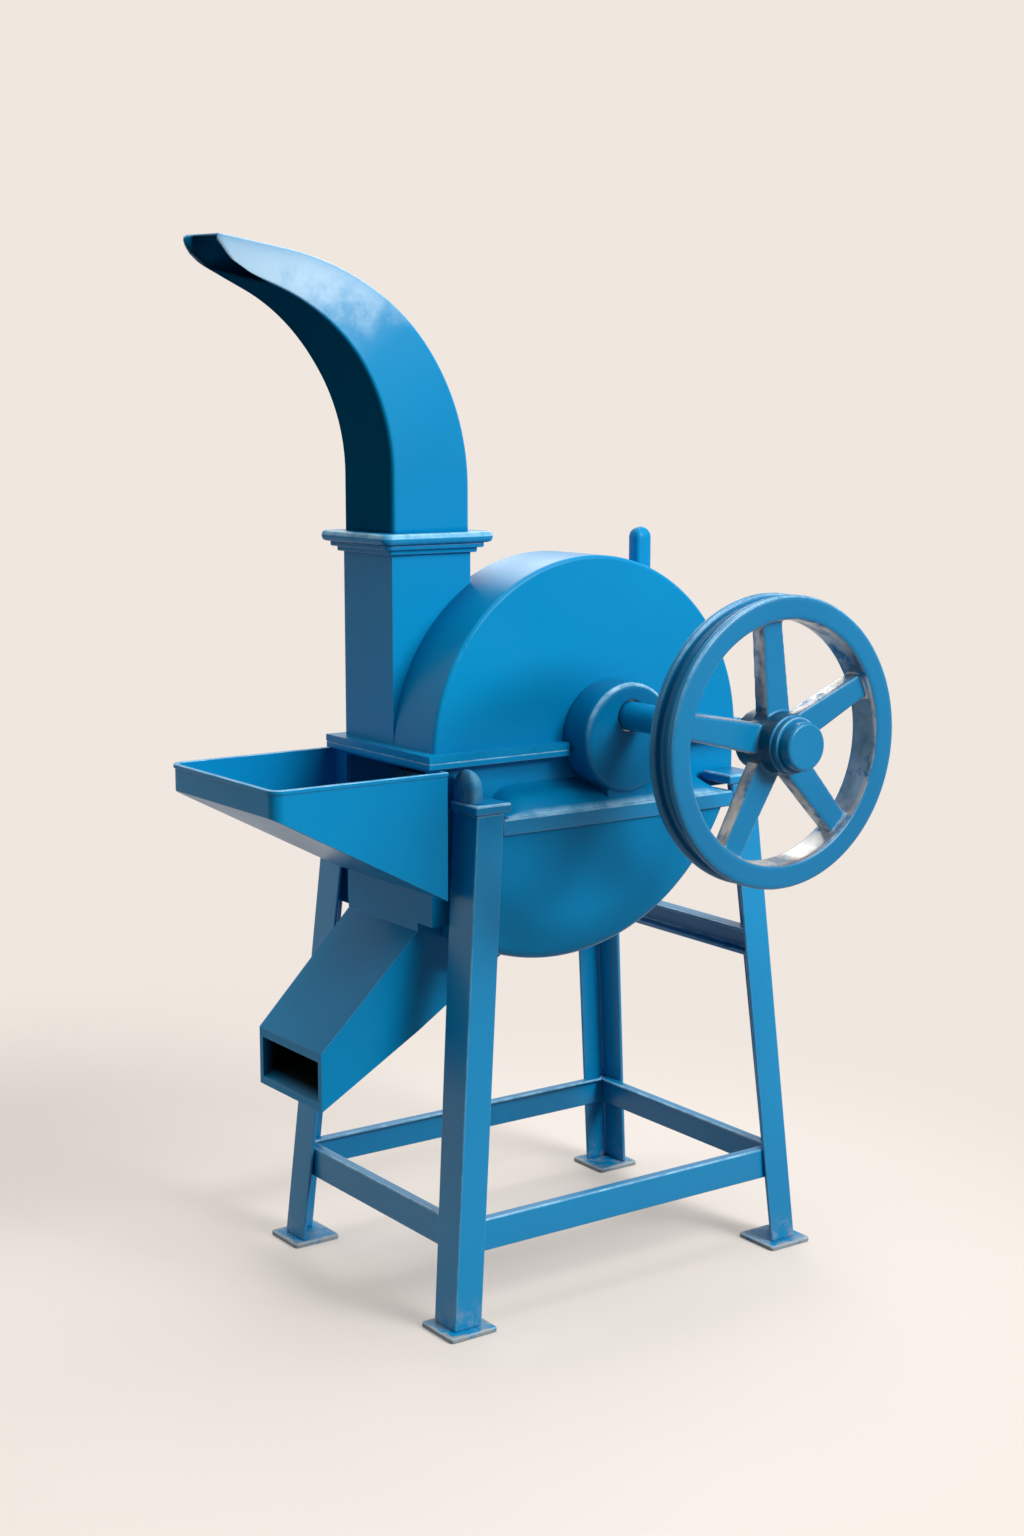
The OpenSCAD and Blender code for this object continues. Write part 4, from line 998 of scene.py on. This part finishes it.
# %% [markdown]
# ## Floor
# The machine stands on a pale studio floor. A large disc takes its shadow, and far from the machine the
# floor fades into the colour of the backdrop, so that no horizon shows from any side. Only the camera and
# the gloss of the paint and the steel see that glow, so it does not light the machine from below. The fade
# is centred away from the main lamp, so that the lamp's own bright patch fades out first and the shadow
# stays.

# %% Floor
CREAM = (0.870, 0.800, 0.740, 1.0)
FLOOR_SEEN = (0.72, 0.670, 0.622, 1.0)
FLOOR_BOUNCE = (0.16, 0.17, 0.19, 1.0)
FLOOR_MIDDLE = (-0.35, 0.30, 0.0)
FLOOR_RADIUS = 14.0
FLOOR_NEAR, FLOOR_FAR, FLOOR_GLOW = 0.7, 1.5, 0.30
FLOOR_ROUGH, FLOOR_GLOSS = 0.95, 0.1


def in_view(tree):
    """1 for the rays that show the background: straight from the camera, or by way of gloss or glass."""
    rays = tree.nodes.new("ShaderNodeLightPath").outputs
    mirrored = math_node(tree, "MAXIMUM", rays["Is Glossy Ray"], rays["Is Transmission Ray"])
    return math_node(tree, "MAXIMUM", rays["Is Camera Ray"], mirrored)


def mixed_shader(tree, factor, first, second):
    """The first shader where the factor is 0, the second where it is 1."""
    node = tree.nodes.new("ShaderNodeMixShader")
    for socket, value in zip(node.inputs, (factor, first.outputs[0], second.outputs[0])):
        feed(tree, socket, value)
    return node.outputs[0]


def studio_floor():
    """Mostly diffuse near the machine, and the plain colour of the backdrop further out."""
    f = Finish("studio_floor")
    seen = in_view(f.tree)
    f.shade(Base_Color=f.mix(seen, FLOOR_BOUNCE, FLOOR_SEEN), Roughness=FLOOR_ROUGH,
            Specular_IOR_Level=FLOOR_GLOSS)
    away = f.add("ShaderNodeVectorMath")
    away.operation = "DISTANCE"
    feed(f.tree, away.inputs[0], f.coords)
    feed(f.tree, away.inputs[1], FLOOR_MIDDLE)
    fade = f.math("MULTIPLY", f.ramp(away.outputs["Value"], FLOOR_NEAR, FLOOR_FAR, FLOOR_GLOW, 1.0), seen)
    backdrop = f.add("ShaderNodeEmission", Color=CREAM, Strength=1.0)
    surface = f.tree.nodes["Material Output"].inputs["Surface"]
    feed(f.tree, surface, mixed_shader(f.tree, fade, f.shader, backdrop))
    return f.material


floor_work = bmesh.new()
bmesh.ops.create_circle(floor_work, cap_ends=True, segments=96, radius=FLOOR_RADIUS)
floor = add_object("floor", finished(floor_work, "floor"))
floor.data.materials.append(studio_floor())
print("floor radius", FLOOR_RADIUS)

# %% [markdown]
# ## Light from the room
# The shaded faces towards the camera are deep blue in the photograph, so little light comes from the front
# of the room. A picture of a room could give this, but a smooth ramp from a dim front to a bright back is
# enough and adds nothing to look at in the gloss. The camera and the gloss see the plain backdrop instead.

# %% World
WALL_LIGHT = (1.0, 0.97, 0.94, 1.0)
WALL_FRONT, WALL_BEHIND = 0.06, 0.90
WALL_LOW, WALL_HIGH = -0.4, 0.6
world = bpy.data.worlds.new("studio")
bpy.context.scene.world = world
world.use_nodes = True
sky = world.node_tree
light = sky.nodes["Background"]
feed(sky, light.inputs["Color"], WALL_LIGHT)
facing = sky.nodes.new("ShaderNodeSeparateXYZ")
feed(sky, facing.inputs[0], sky.nodes.new("ShaderNodeTexCoord").outputs["Generated"])
strength = ramp_node(sky, facing.outputs["Y"], WALL_LOW, WALL_HIGH, WALL_FRONT, WALL_BEHIND)
feed(sky, light.inputs["Strength"], strength)
backdrop = sky.nodes.new("ShaderNodeBackground")
feed(sky, backdrop.inputs["Color"], CREAM)
feed(sky, sky.nodes["World Output"].inputs["Surface"], mixed_shader(sky, in_view(sky), light, backdrop))
print("world light from", WALL_FRONT, "to", WALL_BEHIND)

# %% [markdown]
# ## Lamps
# The right-hand faces are the brightest in the photograph and its shadows are soft, so the main lamp is a
# large box to the right of the camera and above it. A small box near it makes the highlights on round
# metal, one overhead lights the tops, and a weak one behind parts the far edges from the backdrop. Area
# lamps are the plainest way to a soft studio light.

# %% Lamps
LAMP_AIM = (0.05, 0.1, 0.65)
LAMPS = (
    ("key", (1.0, -2.7, 2.5), (1.8, 1.8), 97),
    ("glint", (0.81, -2.57, 1.76), (0.7, 0.5), 34),
    ("top", (0.2, 0.2, 3.2), (2.0, 2.0), 42),
    ("rim", (1.3, 2.4, 2.2), (1.2, 0.8), 14),
)


def softbox(name, position, size, power):
    """One rectangular lamp that looks at the middle of the machine."""
    data = bpy.data.lights.new(name, "AREA")
    data.shape = "RECTANGLE"
    data.size, data.size_y = size
    data.energy = power
    lamp = add_object(name, data)
    lamp.location = position
    lamp.rotation_mode = "QUATERNION"
    lamp.rotation_quaternion = (Vector(LAMP_AIM) - Vector(position)).to_track_quat("-Z", "Y")
    return lamp


for lamp_row in LAMPS:
    softbox(*lamp_row)

# %% [markdown]
# ## Colour output
# The view transform is Standard, so that the colours come out as they are written.

# %% Finish
bpy.context.scene.view_settings.view_transform = "Standard"
